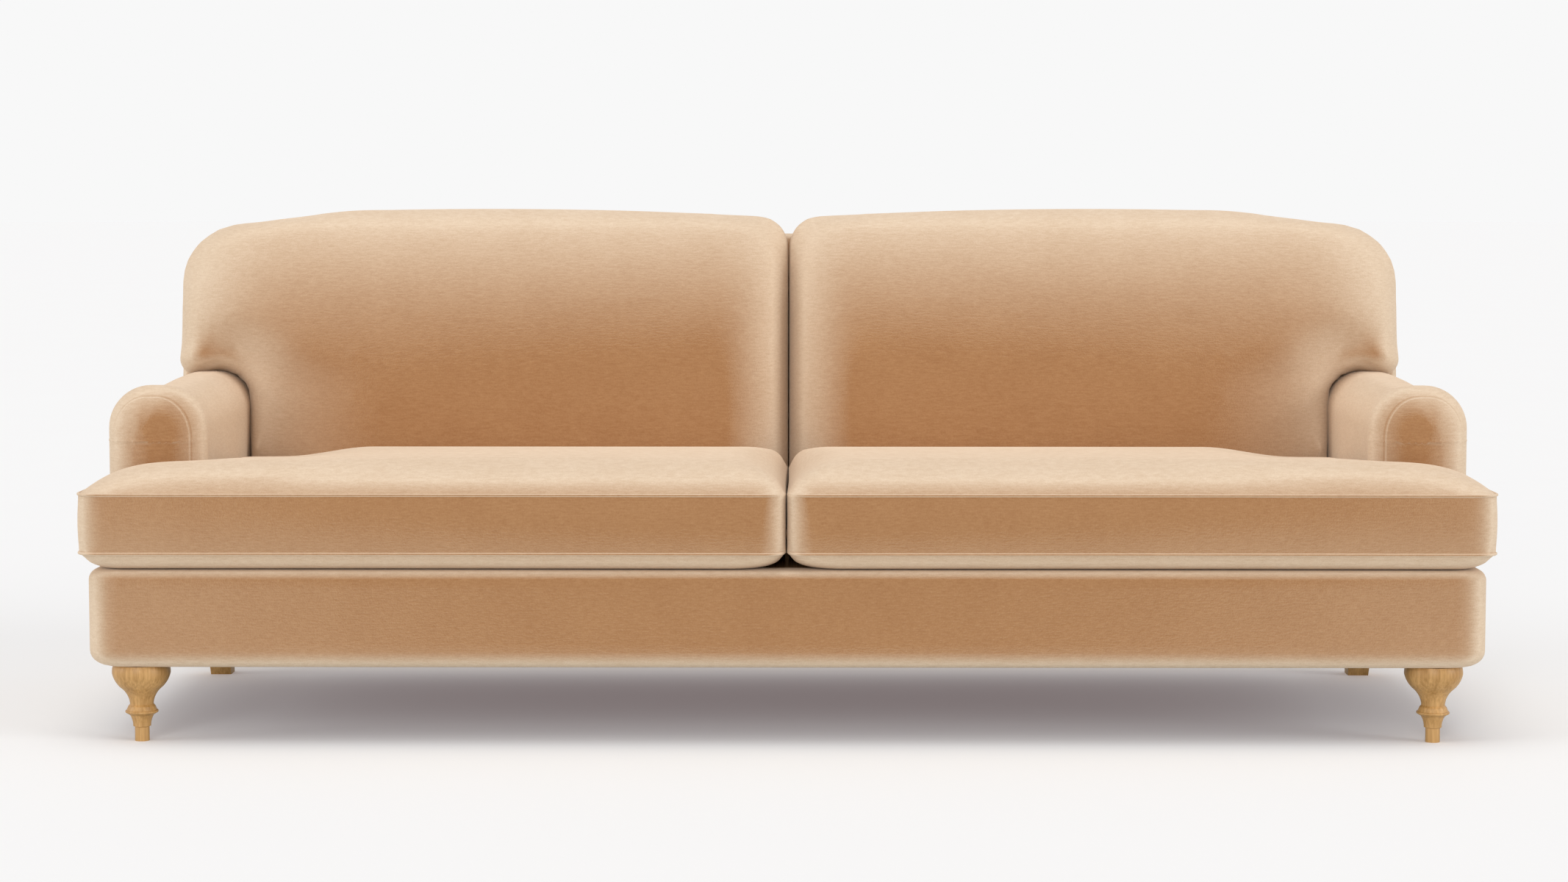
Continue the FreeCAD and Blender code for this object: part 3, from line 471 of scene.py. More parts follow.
corners, middle, half = plan(DECK_LOW, DECK_HIGH, DECK_EDGE_R)
bm = outline(corners, DECK_SPACING)
side_top = DECK_HIGH.z - DECK_EDGE_R
levels = [(DECK_LOW.z, 0.0), (side_top, 0.0)]
levels += quarter_round(side_top, 0.0, DECK_HIGH.z - DECK_ROUND_DROP, DECK_ROUND_INSET, 4, outwards=False)
levels += [(DECK_HIGH.z - drop, inset) for drop, inset in DECK_CROWN]
last_ring = draw_over(bm, levels, middle, half)
bmesh.ops.contextual_create(bm, geom=last_ring)
deck = finished_piece("seat_deck", bm, deck_cloth)
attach(deck, "frame")
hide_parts("seat_deck_pad")

# %% [markdown]
# ## Arms
#
# Each arm is a low roll over a timber stump. The velvet runs along the roll, dips a little behind the knuckle
# at the front, and is sewn to a domed facing panel 18 mm inside the edge. A second seam runs level across the
# facing. The cross section is drawn over from the back to the front, and rings that lie close together pinch
# in to a seam. A curve with a bevel could make the roll, but not the dome and its seam in one piece.

# %% Arm sizes
ARM_IN_X, ARM_OUT_X, ARM_TOP, ARM_ROLL_R, ARM_FOOT_R = 1.030, 1.203, 0.614, 0.075, 0.004
ARM_FOOT = BASE_TOP - 0.040
ARM_HALF_WIDTH = (ARM_OUT_X - ARM_IN_X) / 2
ARM_SPACING = 0.009
FACING_MIDDLE_X = ARM_OUT_X - 0.064
# Millimetres: where the dome starts behind the front, how far it stands out, how deep its seam is pinched.
KNUCKLE, DOME_DEPTH, SEAM_PINCH = 219, 59, 0.7
# Along the roll, from the back to the knuckle: millimetres behind the front, millimetres that the roll dips.
ROLL_ROWS = (
    (878, 4), (820, 4), (760, 4), (700, 4), (640, 5), (580, 6), (520, 8), (460, 10), (400, 12), (350, 13.5),
    (320, 13.5), (295, 12), (275, 9), (258, 5.5), (244, 2.5), (232, 0.7), (KNUCKLE, 0),
)
# Round the dome, in degrees; the seam has a ring close by on either side.
SEAM_TURN = 38
DOME_TURNS = (8, 16, 24, 30, 35, 36.6, SEAM_TURN, 39.4, 41, 46, 52, 58, 64, 70, 76, 82)


def arm_levels():
    """(Distance forward, inset) of each ring, from the back of the arm to the middle of its facing."""
    rows = list(ROLL_ROWS)
    for turn in DOME_TURNS:
        angle = math.radians(turn)
        pinch = SEAM_PINCH if turn == SEAM_TURN else 0
        rows.append((KNUCKLE - (DOME_DEPTH - pinch) * math.sin(angle),
                     ARM_HALF_WIDTH * 1000 * (1 - math.cos(angle)) + pinch))
    return [(-FRONT_Y - behind / 1000, inset / 1000) for behind, inset in rows]


print(f"arm: {len(arm_levels())} rings, {ARM_HALF_WIDTH * 2000:.0f} mm wide")

# %% Arms
UPRIGHT = Matrix.Rotation(math.pi / 2, 4, "X")
BURIED = 0.006
CROSS_SEAM, CROSS_SEAM_DEPTH, CROSS_SEAM_EDGE = 0.517, 0.0009, 0.003
CROSS_SEAM_END, CROSS_SEAM_FADE = FRONT_Y + 0.30, 0.06


def level_cut(bm, height, **options):
    """Cuts the mesh along a level plane and gives the points and edges of the cut."""
    everything = bm.verts[:] + bm.edges[:] + bm.faces[:]
    return bmesh.ops.bisect_plane(
        bm, geom=everything, plane_co=(0, 0, height), plane_no=(0, 0, 1), **options)["geom_cut"]


def sew_cross_seam(bm):
    """A level seam drawn in across the facing; it fades out along the roll."""
    for step in (-CROSS_SEAM_EDGE, 0.0, CROSS_SEAM_EDGE):
        cut = level_cut(bm, CROSS_SEAM + step)
        if step == 0.0:
            seam = [item for item in cut if isinstance(item, bmesh.types.BMVert)]
    bm.normal_update()
    for vert in seam:
        fade = min(1.0, max(0.0, (CROSS_SEAM_END - vert.co.y) / CROSS_SEAM_FADE))
        vert.co -= vert.normal * (CROSS_SEAM_DEPTH * fade)


def arm(side):
    """One arm: rings from the back to the facing's middle, cut off just inside the base."""
    bm = outline([
        (ARM_IN_X, ARM_FOOT, ARM_FOOT_R), (ARM_OUT_X, ARM_FOOT, ARM_FOOT_R),
        (ARM_OUT_X, ARM_TOP, ARM_ROLL_R), (ARM_IN_X, ARM_TOP, ARM_ROLL_R),
    ], ARM_SPACING)
    first_ring = bm.edges[:]
    last_ring = draw_over(bm, arm_levels(), (FACING_MIDDLE_X, ARM_FOOT), (ARM_HALF_WIDTH, ARM_TOP - ARM_FOOT))
    bmesh.ops.contextual_create(bm, geom=first_ring)
    bmesh.ops.contextual_create(bm, geom=last_ring)
    bmesh.ops.transform(bm, matrix=UPRIGHT, verts=bm.verts[:])
    level_cut(bm, BASE_TOP - BURIED, clear_inner=True)
    sew_cross_seam(bm)
    if side == "left":
        bmesh.ops.scale(bm, vec=(-1, 1, 1), verts=bm.verts[:])
    piece = finished_piece(f"{side}_arm_roll", bm, velvet)
    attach(piece, "frame")
    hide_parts(f"{side}_arm_cover", f"{side}_arm_padding", f"{side}_arm_facing")


for side in ("left", "right"):
    arm(side)

# %% [markdown]
# ## Fixed back
#
# The back is a padded panel that leans ten degrees. Its edges round over to both faces, and the outside face
# is drawn tight with the least crown. It is drawn over flat and then leaned back with one matrix, which the
# back cushions use again, so that both share the same slope.

# %% Fixed back
RAKE = math.radians(10)
BACK_HALF_WIDTH, BACK_HEIGHT, BACK_CORNER_R, BACK_FOOT_R = 1.194, 0.563, 0.120, 0.006
BACK_THICKNESS, BACK_EDGE = 0.095, 0.016
BACK_FOOT, BACK_SPACING = -0.040, 0.014
BACK_FOOT_Y = -FRONT_Y - (BACK_HEIGHT - BACK_EDGE) * math.sin(RAKE)
RAKED = Matrix.Translation((0, BACK_FOOT_Y, BASE_TOP)) @ Matrix.Rotation(math.pi / 2 - RAKE, 4, "X")
# From the middle of the outside face round its edge: height in the panel's thickness, inset.
HALF_PANEL = [
    (-0.006, 0.20), (-0.006, 0.14), (-0.005, 0.09), (-0.003, 0.05), (-0.001, 0.025), (0.0, BACK_EDGE),
    (0.002, 0.0115), (0.006, 0.0068), (0.012, 0.0033), (0.020, 0.001), (0.032, 0.0),
]

bm = outline([
    (-BACK_HALF_WIDTH, BACK_FOOT, BACK_FOOT_R), (BACK_HALF_WIDTH, BACK_FOOT, BACK_FOOT_R),
    (BACK_HALF_WIDTH, BACK_HEIGHT, BACK_CORNER_R), (-BACK_HALF_WIDTH, BACK_HEIGHT, BACK_CORNER_R),
], BACK_SPACING)
levels = HALF_PANEL + [(BACK_THICKNESS - height, inset) for height, inset in reversed(HALF_PANEL)]
first_ring = bm.edges[:]
last_ring = draw_over(bm, levels, (0, BACK_FOOT), (BACK_HALF_WIDTH, BACK_HEIGHT - BACK_FOOT))
bmesh.ops.contextual_create(bm, geom=first_ring)
bmesh.ops.contextual_create(bm, geom=last_ring)
bmesh.ops.transform(bm, matrix=RAKED, verts=bm.verts[:])
level_cut(bm, BASE_TOP - BURIED, clear_inner=True)
back = finished_piece("fixed_back", bm, velvet)
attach(back, "frame")
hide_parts("back_cover", "back_padding")

# %% [markdown]
# ## Loose cushions
#
# A stuffed cushion has no flat face except where it rests. Blender's cloth can blow one up the way filling
# does: the closed shape becomes an even net of small squares, the seams are pinned, and pressure pushes the
# rest out for nine frames. Too much would make a balloon, so each point may move only so far. The start is
# the cushion's filling, which is a little smaller than its cover. Pressure alone settles well round the ears
# and corners, but it doesn't stop at a known height, so afterwards the crown and the face are moulded to a
# smooth profile. The left cushion is the right one mirrored.

# %% Cushion nets
NET_SIZE = 0.010
COVER_THICKNESS = 0.003
FIRST_SOFTENING = 4


@contextlib.contextmanager
def net_of(piece):
    """The piece's mesh as a bmesh to work on; it goes back into the mesh afterwards."""
    bm = bmesh.new()
    bm.from_mesh(piece.data)
    yield bm
    bm.to_mesh(piece.data)
    bm.free()


def settle(piece):
    """Replaces the piece's mesh by what its modifiers make of it."""
    evaluated = piece.evaluated_get(bpy.context.evaluated_depsgraph_get())
    made = bpy.data.meshes.new_from_object(evaluated)
    piece.modifiers.clear()
    piece.data = made


def even_out(bm, verts, rounds):
    """Draws each point halfway towards its neighbours, again in each round."""
    for _ in range(rounds):
        bmesh.ops.smooth_vert(bm, verts=verts, factor=0.5, use_axis_x=True, use_axis_y=True, use_axis_z=True)


def soften(piece, rounds, loose=lambda co: True):
    """Evens out the net where it is loose."""
    with net_of(piece) as bm:
        even_out(bm, [vert for vert in bm.verts if loose(vert.co)], rounds)


def push(piece, distance):
    """Moves each point of the net outwards by distance(point)."""
    with net_of(piece) as bm:
        bm.normal_update()
        for vert in bm.verts:
            vert.co += vert.normal * distance(vert.co)


def cloth_net(name, node):
    """An even net of squares over a copy of a CAD solid."""
    piece = bpy.data.objects.new(name, nodes[node].data.copy())
    scene.collection.objects.link(piece)
    with net_of(piece) as bm:
        bmesh.ops.remove_doubles(bm, verts=bm.verts[:], dist=1e-5)
    net = piece.modifiers.new("net", "REMESH")
    net.mode = "VOXEL"
    net.voxel_size = NET_SIZE
    settle(piece)
    soften(piece, FIRST_SOFTENING)
    push(piece, lambda co: COVER_THICKNESS)
    print(f"{name}: net of {len(piece.data.vertices)} points")
    return piece


# %% Stuffing and moulding
STUFFING_FRAMES, CLOTH_STEPS = 9, 3
MOVED = 1e-4


def stuff(piece, pressure, room):
    """Blows the net up with cloth pressure; room(point) is how far it may move, 0 where it is sewn."""
    start = [vert.co.copy() for vert in piece.data.vertices]
    rooms = [room(co) for co in start]
    sewn = piece.vertex_groups.new(name="sewn")
    sewn.add([index for index, limit in enumerate(rooms) if limit == 0], 1.0, "REPLACE")
    cloth = piece.modifiers.new("stuffing", "CLOTH")
    cloth.settings.vertex_group_mass = "sewn"
    cloth.settings.use_pressure = True
    cloth.settings.uniform_pressure_force = pressure
    cloth.settings.effector_weights.gravity = 0.0
    cloth.settings.quality = CLOTH_STEPS
    for number in range(1, STUFFING_FRAMES + 1):
        scene.frame_set(number)
    settle(piece)
    scene.frame_set(1)
    furthest = 0.0
    for vert, origin, limit in zip(piece.data.vertices, start, rooms):
        move = vert.co - origin
        if move.length > limit:
            vert.co = origin + move * (limit / move.length)
        furthest = max(furthest, (vert.co - origin).length)
    piece.vertex_groups.clear()
    print(f"{piece.name}: moved up to {furthest * 1000:.1f} mm")


def mould(piece, goal, rounds):
    """Moves each point to goal(point, normal), then evens out the net where points moved."""
    with net_of(piece) as bm:
        bm.normal_update()
        moved = []
        for vert in bm.verts:
            place = goal(vert.co, vert.normal)
            if (place - vert.co).length > MOVED:
                moved.append(vert)
            vert.co = place
        even_out(bm, moved, rounds)
    print(f"{piece.name}: {len(moved)} points moulded")


def swell(distance, reach):
    """0 at an edge, rising smoothly to 1 at a distance from it."""
    share = min(1.0, max(0.0, distance / reach))
    return share * share * (3 - 2 * share)


# %% Zips, gaps and dressing
ZIP_MARGIN, ZIP_REACH = 0.005, 0.02
HALF_GAP = 0.0008


def zip_pocket(piece, node, axis, inwards):
    """Lays the cover behind the zip, so that the tape shows in a shallow pocket."""
    low, high = (list(corner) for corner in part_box(node))
    floor = (high if inwards > 0 else low)[axis]
    along = [i for i in range(3) if i != axis]
    for vert in piece.data.vertices:
        beside = all(low[i] - ZIP_MARGIN < vert.co[i] < high[i] + ZIP_MARGIN for i in along)
        if beside and -ZIP_REACH < (floor - vert.co[axis]) * inwards < ZIP_REACH:
            vert.co[axis] = floor


def close_gap(piece, outer, inner):
    """Widens the cushion towards the middle of the sofa until it nearly meets its twin."""
    for vert in piece.data.vertices:
        vert.co.x = outer - (outer - vert.co.x) * (outer - HALF_GAP) / (outer - inner)


def dress_cushion(piece, kind, side):
    """Gives the cushion its finish and its place on its body, and hides the CAD cover and core that it stands
    for.
    """
    piece.data.materials.clear()
    piece.data.materials.append(velvet)
    finer = piece.modifiers.new("finer_net", "SUBSURF")
    finer.levels = finer.render_levels = 1
    piece.data.shade_smooth()
    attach(piece, f"{side}_{kind}_cushion")
    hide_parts(f"{side}_{kind}_cushion_cover", f"{side}_{kind}_cushion_core")


def twin(piece, name):
    """The mirrored cushion for the other side."""
    bm = bmesh.new()
    bm.from_mesh(piece.data)
    bmesh.ops.scale(bm, vec=(-1, 1, 1), verts=bm.verts[:])
    bmesh.ops.reverse_faces(bm, faces=bm.faces[:])
    mesh = bpy.data.meshes.new(name)
    bm.to_mesh(mesh)
    bm.free()
    other = bpy.data.objects.new(name, mesh)
    scene.collection.objects.link(other)
    print(f"{name}: {len(mesh.polygons)} faces, mirrored")
    return other


# %% [markdown]
# ## Seat cushions
#
# A seat cushion is an L, with an ear that comes round the front of the arm. A band of velvet, the boxing, runs
# round it between two welts and stays nearly flat, because the welts hold it. The net is cut along both welt
# lines, creased there, and the band is drawn onto the CAD cover with Shrinkwrap, so its corners stay crisp.
# Rounding a box instead would lose the line that the welt is sewn to. Above the band the crown is level in
# front, rolls over at the welt and the ear, and is sat down a little beside the arm and towards the back.

# %% Seat boxing
LOWER_WELT, UPPER_WELT = 0.336, 0.4375
SEAM_REACH, ON_SEAM, OFF_SEAM = 0.003, 1e-4, 0.002
BAND_OUT, BAND_SQUEEZE, BAND_SOFTENING = 0.004, 0.8, 5
BULGE, BULGE_RISE = 0.003, 0.05
SEAT_IN, SEAT_OUT = 0.004, 1.220
BULGE_IN, EAR_DEPTH, EAR_FADE = 0.005, 0.19, 0.03


def on_band(height):
    """Whether a height lies on the boxing, its seams included."""
    return LOWER_WELT - ON_SEAM < height < UPPER_WELT + ON_SEAM


def boxing_bulge(co):
    """The band swells between its welts in front and round the ear, and stays flat beside its neighbours."""
    share = (co.z - LOWER_WELT) / (UPPER_WELT - LOWER_WELT)
    if not 0 < share < 1:
        return 0.0
    in_front = swell(co.x - BULGE_IN, BULGE_RISE) * swell(FRONT_Y + EAR_DEPTH - co.y, EAR_FADE)
    return BULGE * 4 * share * (1 - share) * in_front


def cut_seams(piece):
    """Cuts the net along both welt lines and creases the cut."""
    with net_of(piece) as bm:
        crease = bm.edges.layers.float.new("crease_edge")
        for height in (LOWER_WELT, UPPER_WELT):
            for item in level_cut(bm, height, dist=SEAM_REACH):
                if isinstance(item, bmesh.types.BMEdge):
                    item[crease] = 1.0
                else:
                    item.co.z = height


def sew_boxing(piece, cover):
    """Draws the band between the welts flat onto the CAD cover, each point at its own height."""
    cut_seams(piece)
    heights = [vert.co.z for vert in piece.data.vertices]
    points = [index for index, height in enumerate(heights) if on_band(height)]
    piece.vertex_groups.new(name="boxing").add(points, 1.0, "REPLACE")
    push(piece, lambda co: BAND_OUT if on_band(co.z) else 0.0)
    middle = (LOWER_WELT + UPPER_WELT) / 2
    for index in points:  # squeezed for a moment, so that the nearest cover is the band and not the crown
        piece.data.vertices[index].co.z = middle + (heights[index] - middle) * BAND_SQUEEZE
    wrap = piece.modifiers.new("boxing", "SHRINKWRAP")
    wrap.target = nodes[cover]
    wrap.vertex_group = "boxing"
    settle(piece)
    piece.vertex_groups.clear()
    for index in points:
        piece.data.vertices[index].co.z = heights[index]
    soften(piece, BAND_SOFTENING, lambda co: LOWER_WELT + OFF_SEAM < co.z < UPPER_WELT - OFF_SEAM)
    push(piece, boxing_bulge)


seat = cloth_net("right_seat_cushion", "right_seat_cushion_core")
sew_boxing(seat, "right_seat_cushion_cover")
print(f"boxing: {(UPPER_WELT - LOWER_WELT) * 1000:.0f} mm high")

# %% Seat crown
SEAT_CROWN, SEAT_LOWEST = 0.4936, 0.450
LEVEL_DEPTH, BACKWARD_FALL = 0.30, 0.35
ARM_HOLLOW, HOLLOW_X, HOLLOW_RISE, HOLLOW_BEHIND, HOLLOW_DEPTH = 0.018, 0.76, 0.16, 0.12, 0.15
HELD_ABOVE_WELT, HOLD_HEIGHT, MOST_RISE = 0.003, 0.03, 0.014
EAR_END = 1.2215
FRONT_ROLL, EAR_ROLL, ROLL_POWER, FREE_ABOVE_WELT = 0.03, 0.055, 1.8, 0.0005
SEAT_PRESSURE, CROWN_ROUNDS = 6.0, 12


def seat_crown(co):
    """Height of the sat-on surface: level in front, lower beside the arm and towards the back."""
    behind = co.y - FRONT_Y
    by_arm = swell(co.x - HOLLOW_X, HOLLOW_RISE) * swell(behind - HOLLOW_BEHIND, HOLLOW_DEPTH)
    fallen = BACKWARD_FALL * max(0.0, behind - LEVEL_DEPTH) ** 2
    return max(SEAT_LOWEST, SEAT_CROWN - fallen - ARM_HOLLOW * by_arm)


def seat_room(co):
    """The boxing and the bottom stay put; the crown may rise to its height, least beside the welt."""
    if co.z < UPPER_WELT + HELD_ABOVE_WELT:
        return 0.0
    free = min(1.0, (co.z - UPPER_WELT) / HOLD_HEIGHT) ** 2
    return free * min(MOST_RISE, max(0.0, seat_crown(co) - co.z))


def fill_crown(co, normal):
    """Up or down to the crown's height, which it reaches gently from the front welt and over the ear."""
    if co.z < UPPER_WELT + FREE_ABOVE_WELT:
        return co.copy()
    rise = seat_crown(co) - UPPER_WELT
    filled = 1 - (1 - min(1.0, (co.z - UPPER_WELT) / rise)) ** ROLL_POWER
    gentle = (1 - math.exp((FRONT_Y - co.y) / FRONT_ROLL)) * (1 - math.exp((co.x - EAR_END) / EAR_ROLL))
    return Vector((co.x, co.y, UPPER_WELT + rise * max(0.0, min(filled, gentle))))


stuff(seat, SEAT_PRESSURE, seat_room)
mould(seat, fill_crown, CROWN_ROUNDS)
zip_pocket(seat, "right_seat_cushion_zip", axis=1, inwards=-1)
close_gap(seat, SEAT_OUT, SEAT_IN)
dress_cushion(twin(seat, "left_seat_cushion"), "seat", "left")
dress_cushion(seat, "seat", "right")

# %% [markdown]
# ## Welts
#
# A thin welt, velvet folded over a cord, is sewn into both edges of the boxing. It follows the cover's own
# outline: the CAD cover is cut at the height of the seam, its outer loop becomes a curve, and a round bevel
# makes the cord. A modelled tube would have to be bent round each corner by hand.

# %% Seam loops
def place_of(vert):
    """A point's place, which puts points in the same order in every run."""
    return vert.co.to_tuple()


def loop_length(points):
    """Length of a closed loop of points."""
    return sum((b - a).length for a, b in zip(points, points[1:] + points[:1]))


def seam_loop(node, height):
    """The points of the longest loop, the cover's outside, where a level plane cuts a CAD solid."""
    bm = bmesh.new()
    bm.from_mesh(nodes[node].data)
    bmesh.ops.remove_doubles(bm, verts=bm.verts[:], dist=1e-5)
    level_cut(bm, height, dist=1e-6, clear_inner=True, clear_outer=True)
    bmesh.ops.remove_doubles(bm, verts=bm.verts[:], dist=1e-4)
    loops, left = [], set(bm.verts)
    while left:
        vert, loop = min(left, key=place_of), []
        while vert is not None:
            left.remove(vert)
            loop.append(vert.co.copy())
            onward = [edge.other_vert(vert) for edge in vert.link_edges if edge.other_vert(vert) in left]
            vert = min(onward, key=place_of, default=None)
        loops.append(loop)
    bm.free()
    return max(loops, key=loop_length)


# %% Welts
WELT_RADIUS, WELT_SUNK, WELT_SIDES = 0.0026, 0.0006, 3
INSIDE_SEAM, UPPER_LIFT = 0.0005, 0.001


def welt(side, edge, height, lift):
    """One welt round a seat cushion, cut at a height on its boxing and lifted onto the seam."""
    path = bpy.data.curves.new("welt", "CURVE")
    path.dimensions = "3D"
    path.bevel_depth = WELT_RADIUS
    path.bevel_resolution = WELT_SIDES
    points = seam_loop(f"{side}_seat_cushion_cover", height)
    spline = path.splines.new("POLY")
    spline.points.add(len(points) - 1)
    onward = points[1:] + points[:1]
    turning = sum(a.x * b.y - b.x * a.y for a, b in zip(points, onward))
    inward = math.copysign(WELT_SUNK, turning)
    for point, before, place, after in zip(spline.points, points[-1:] + points, points, onward):
        along = (after - before).normalized()
        point.co = (place.x - along.y * inward, place.y + along.x * inward, place.z + lift, 1)
    spline.use_cyclic_u = True
    cord = bpy.data.objects.new("cord", path)
    scene.collection.objects.link(cord)
    mesh = bpy.data.meshes.new_from_object(cord.evaluated_get(bpy.context.evaluated_depsgraph_get()))
    bpy.data.objects.remove(cord)
    mesh.materials.clear()
    mesh.materials.append(velvet)
    mesh.shade_smooth()
    piece = bpy.data.objects.new(f"{side}_seat_{edge}_welt", mesh)
    scene.collection.objects.link(piece)
    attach(piece, f"{side}_seat_cushion")
    print(f"{piece.name}: {loop_length(points):.3f} m through {len(points)} points")


for side in ("left", "right"):
    welt(side, "lower", LOWER_WELT + INSIDE_SEAM, 0.0)
    welt(side, "upper", UPPER_WELT - INSIDE_SEAM, UPPER_LIFT)

# %% [markdown]
# ## Back cushions
#
# A back cushion leans on the fixed back and rests on the seat, with an outer ear that lies over the arm. It
# has no welt: the face rolls over fully at the top and less at the sides, and the ear sags a little. Each
# point is turned into the leaning frame of the fixed back, so a profile is only a distance across and one up.
# Cloth pressure alone would make the face a dome, while the real one is nearly level low down, so the face is
# moulded to a sum of three rolls. The ear keeps the shape that the net gave it.

# %% Back cushion zones
TO_RAKED = RAKED.inverted()
CUSHION_IN, CUSHION_OUT, CUSHION_TOP = 0.005, 1.177, 0.590
# Lower outer zones: from this distance across, rising over this; below this distance up, fading over this.
HELD_BY_ARM = (0.72, 0.28, 0.52, 0.26)
EAR_SIDE = (0.88, 0.12, 0.42, 0.12)
EAR_FACE = (0.94, 0.12, 0.37, 0.06)
PRESSED_ZONE = (0.99, 0.03, 0.34, 0.05)
SAGGING_ZONE = (1.09, 0.06, 0.37, 0.06)
FACE_DEPTH, EAR_FACE_DEPTH = 0.105, 0.055
PRESSED, PRESSED_DEPTH, PRESSED_FADE = 0.0075, 0.115, 0.06
EAR_SAG = 0.012


def in_zone(local, zone):
    """1 inside a lower outer zone of the cushion, falling smoothly to 0 outside."""
    from_x, rise, below, fade = zone
    return swell(local.x - from_x, rise) * swell(below - local.y, fade)


def forward(local):
    """How far in front of the fixed back a point lies."""
    return local.z - BACK_THICKNESS


def face(co):
    """The front of the cushion; over the arm this starts further forward, so the ear keeps its edge."""
    local = TO_RAKED @ co
    return forward(local) > FACE_DEPTH + EAR_FACE_DEPTH * in_zone(local, EAR_SIDE)


def press_on_arm(co):
    """How far the ear swells against the back part of the arm, so that no gap shows between them."""
    local = TO_RAKED @ co
    return PRESSED * in_zone(local, PRESSED_ZONE) * (1 - swell(forward(local) - PRESSED_DEPTH, PRESSED_FADE))


def sag(co, normal):
    """The ear hangs a little lower at its outer end."""
    local = TO_RAKED @ co
    local.y -= EAR_SAG * in_zone(local, SAGGING_ZONE)
    return RAKED @ local


print(f"back cushion: {CUSHION_OUT - CUSHION_IN:.3f} m wide, {CUSHION_TOP} m up the slope")

# %% Back cushion room and face
SEWN_DEPTH, DOME, ARM_HOLD = 0.070, 0.040, 0.8
EDGE_IN, REACH_IN, EDGE_OUT, REACH_OUT = 0.015, 0.30, 0.02, 0.36
REACH_TOP, HELD_LOW, LOW_RISE = 0.32, 0.10, 0.09
FULLEST, ARM_SIDE, ARM_SIDE_TOP, ARM_SIDE_RISE = 0.2225, 1.020, 0.24, 0.08
# Rolls of the face: how deep it falls back at the edge, and over which distance.
TOP_ROLL, TOP_EDGE, INNER_ROLL = (0.10, 0.34), (0.02, 0.05), (0.08, 0.17)
OUTER_ROLL, OUTER_ROLL_MORE, OUTER_REACH, OUTER_MORE_UP, OUTER_MORE_RISE = 0.05, 0.045, 0.28, 0.26, 0.10
LOW_START, LOW_FALL = 0.28, 0.4
FACING_FROM, FACING_RISE = 0.15, 0.45


def crown(distance, reach):
    """0 at an edge, rising at once and levelling out at 1."""
    share = min(1.0, max(0.0, distance / reach))
    return share * (2 - share)


def fall(distance, reach):
    """1 at an edge, falling smoothly to 0 at a distance from it."""
    return (1 - min(1.0, max(0.0, distance / reach))) ** 3


def back_room(co):
    """The rear and the sides are sewn; the face may swell, most in the middle and least beside the arm."""
    local = TO_RAKED @ co
    if forward(local) < SEWN_DEPTH:
        return 0.0
    across = crown(local.x - CUSHION_IN - EDGE_IN, REACH_IN) * crown(CUSHION_OUT - EDGE_OUT - local.x, REACH_OUT)
    upright = crown(CUSHION_TOP - local.y, REACH_TOP) * swell(local.y - HELD_LOW, LOW_RISE)
    return DOME * across * upright * (1 - ARM_HOLD * in_zone(local, HELD_BY_ARM))


def back_face(across, up):
    """How far in front of the fixed back the face lies: a full roll at the top, smaller ones at the sides."""
    below_top = CUSHION_TOP - up
    outer = ARM_SIDE + (CUSHION_OUT - ARM_SIDE) * swell(up - ARM_SIDE_TOP, ARM_SIDE_RISE)
    outer_roll = OUTER_ROLL + OUTER_ROLL_MORE * swell(up - OUTER_MORE_UP, OUTER_MORE_RISE)
    rolls = TOP_ROLL[0] * fall(below_top, TOP_ROLL[1]) + TOP_EDGE[0] * fall(below_top, TOP_EDGE[1])
    rolls += INNER_ROLL[0] * fall(across - CUSHION_IN, INNER_ROLL[1])
    rolls += outer_roll * fall(outer - across, OUTER_REACH)
    return FULLEST - rolls - LOW_FALL * max(0.0, below_top - LOW_START) ** 2


def fill_face(co, normal):
    """To the face's profile, all of the way where the cover faces forward; the ear keeps its own."""
    local = TO_RAKED @ co
    facing = swell((TO_RAKED.to_3x3() @ normal).z - FACING_FROM, FACING_RISE)
    share = facing * (1 - in_zone(local, EAR_FACE))
    local.z += (BACK_THICKNESS + back_face(local.x, local.y) - local.z) * share
    return RAKED @ local


print(f"fullest {FULLEST} m in front of the fixed back")

# %% Back cushions
BACK_PRESSURE = 12.0
FIRST_ROUNDS, STUFFED_ROUNDS, FACE_ROUNDS = 120, 60, 30

back_cushion = cloth_net("right_back_cushion", "right_back_cushion_core")
soften(back_cushion, FIRST_ROUNDS, face)
stuff(back_cushion, BACK_PRESSURE, back_room)
soften(back_cushion, STUFFED_ROUNDS, face)
mould(back_cushion, fill_face, FACE_ROUNDS)
push(back_cushion, press_on_arm)
mould(back_cushion, sag, 0)
zip_pocket(back_cushion, "right_back_cushion_zip", axis=2, inwards=1)
close_gap(back_cushion, CUSHION_OUT, CUSHION_IN)
dress_cushion(twin(back_cushion, "left_back_cushion"), "back", "left")
dress_cushion(back_cushion, "back", "right")

# %% [markdown]
# ## Floor and light
#
# The studio is one even pale tone. A sky of plain white lights the sofa from everywhere, and broad soft lamps
# above, in front and at both sides give it form, the right one stronger than the left. Area lamps would light
# the floor in pools. Lamps at an infinite distance light it evenly, so it meets the background without a line
# and keeps only the sofa's own shadow. The paper also has a faint painted glow, a warm emission that the camera
# alone sees: it lifts and warms the tone of that shadow and puts no more light on the sofa.

# %% Floor
PAPER_FIBRE = 500.0  # millimetres
FLOOR_RADIUS, FLOOR_SIDES = 80.0, 96
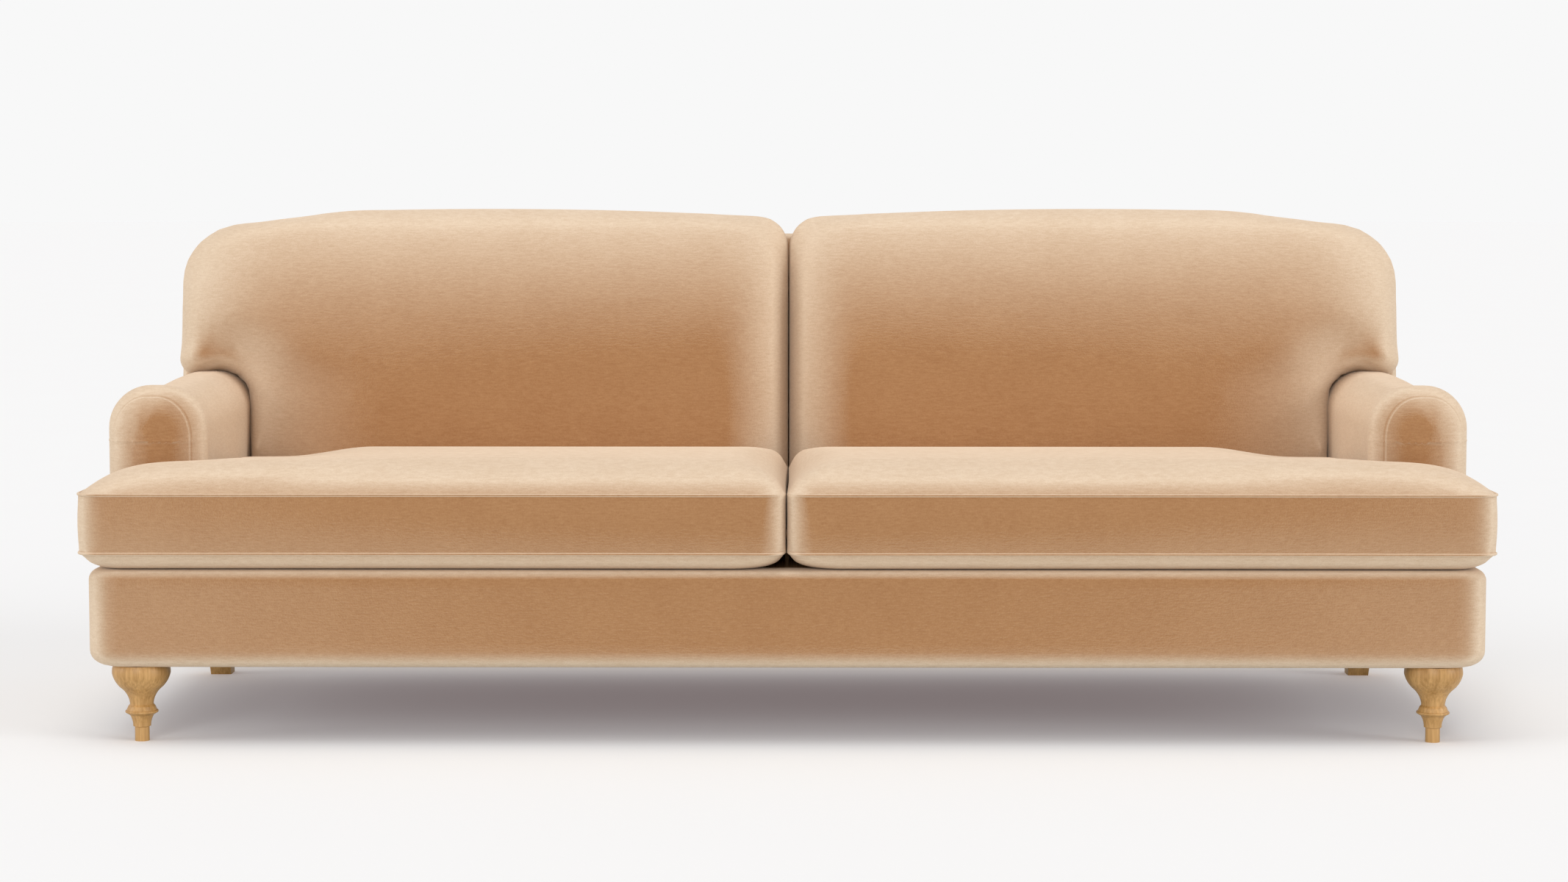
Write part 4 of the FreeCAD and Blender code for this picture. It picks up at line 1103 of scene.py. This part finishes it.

# Studio paper: matt and plain, with a slow change of tone that keeps it from looking like flat paint. It is a
# touch cyan, so that with the warm painted glow below it the lit floor reads neutral and its shadow warm.
paper, tree, out = new_material("studio_paper_painted_glow")
place = add(tree, "ShaderNodeTexCoord").outputs["Object"]
fibres = add(tree, "ShaderNodeTexNoise", {"Vector": place, "Scale": grain_size(PAPER_FIBRE), "Detail": 2.0})
tone = add(tree, "ShaderNodeMix", {
    "Factor": fibres.outputs["Fac"], "A": linear("#e3e7e7"), "B": linear("#e4e8e8"),
}, data_type="RGBA")
sheet = add(tree, "ShaderNodeBsdfDiffuse", {"Color": tone.outputs["Result"]})
rays = add(tree, "ShaderNodeLightPath").outputs
# Painted glow: a warm emission that only the camera sees; it lifts and warms the floor's shadow and lights
# nothing.
painted_glow = add(tree, "ShaderNodeEmission", {"Color": linear("#726666"), "Strength": rays["Is Camera Ray"]})
paper_and_painted_glow = add(tree, "ShaderNodeAddShader", {0: sheet.outputs["BSDF"], 1: painted_glow.outputs["Emission"]})
tree.links.new(paper_and_painted_glow.outputs["Shader"], out.inputs["Surface"])
bm = bmesh.new()
bmesh.ops.create_circle(bm, cap_ends=True, radius=FLOOR_RADIUS, segments=FLOOR_SIDES)
floor = finished_piece("studio_floor", bm, paper)

# %% Light
SKY = 0.52
# Strength, spread of the light, tilt from overhead and turn towards a side; the angles are in degrees.
SUNS = {
    "overhead_softbox": (0.79, 40, 12, -20),
    "front_softbox": (0.82, 26, 72, -10),
    "left_softbox": (0.65, 26, 74, -75),
    "right_softbox": (0.95, 30, 72, 65),
}

world = bpy.data.worlds.new("studio_surround")
world.use_nodes = True
scene.world = world
tree = world.node_tree
tree.nodes.clear()
rays = add(tree, "ShaderNodeLightPath").outputs
mirrored = add(tree, "ShaderNodeMath", {
    0: rays["Is Glossy Ray"], 1: rays["Is Transmission Ray"],
}, operation="MAXIMUM")
seen = add(tree, "ShaderNodeMath", {0: rays["Is Camera Ray"], 1: mirrored.outputs[0]}, operation="MAXIMUM")
light = add(tree, "ShaderNodeBackground", {"Color": linear("#ffffff"), "Strength": SKY})
backdrop = add(tree, "ShaderNodeBackground", {"Color": linear("#f8f8f8"), "Strength": 1.0})
either = add(tree, "ShaderNodeMixShader", {
    "Fac": seen.outputs[0], 1: light.outputs["Background"], 2: backdrop.outputs["Background"],
})
add(tree, "ShaderNodeOutputWorld", {"Surface": either.outputs["Shader"]})

for name, (strength, spread, tilt, turn) in SUNS.items():
    lamp = bpy.data.lights.new(name, "SUN")
    lamp.energy = strength
    lamp.angle = math.radians(spread)
    holder = bpy.data.objects.new(name, lamp)
    holder.rotation_euler = (math.radians(tilt), 0, math.radians(turn))
    scene.collection.objects.link(holder)
print("lamps:", ", ".join(SUNS))
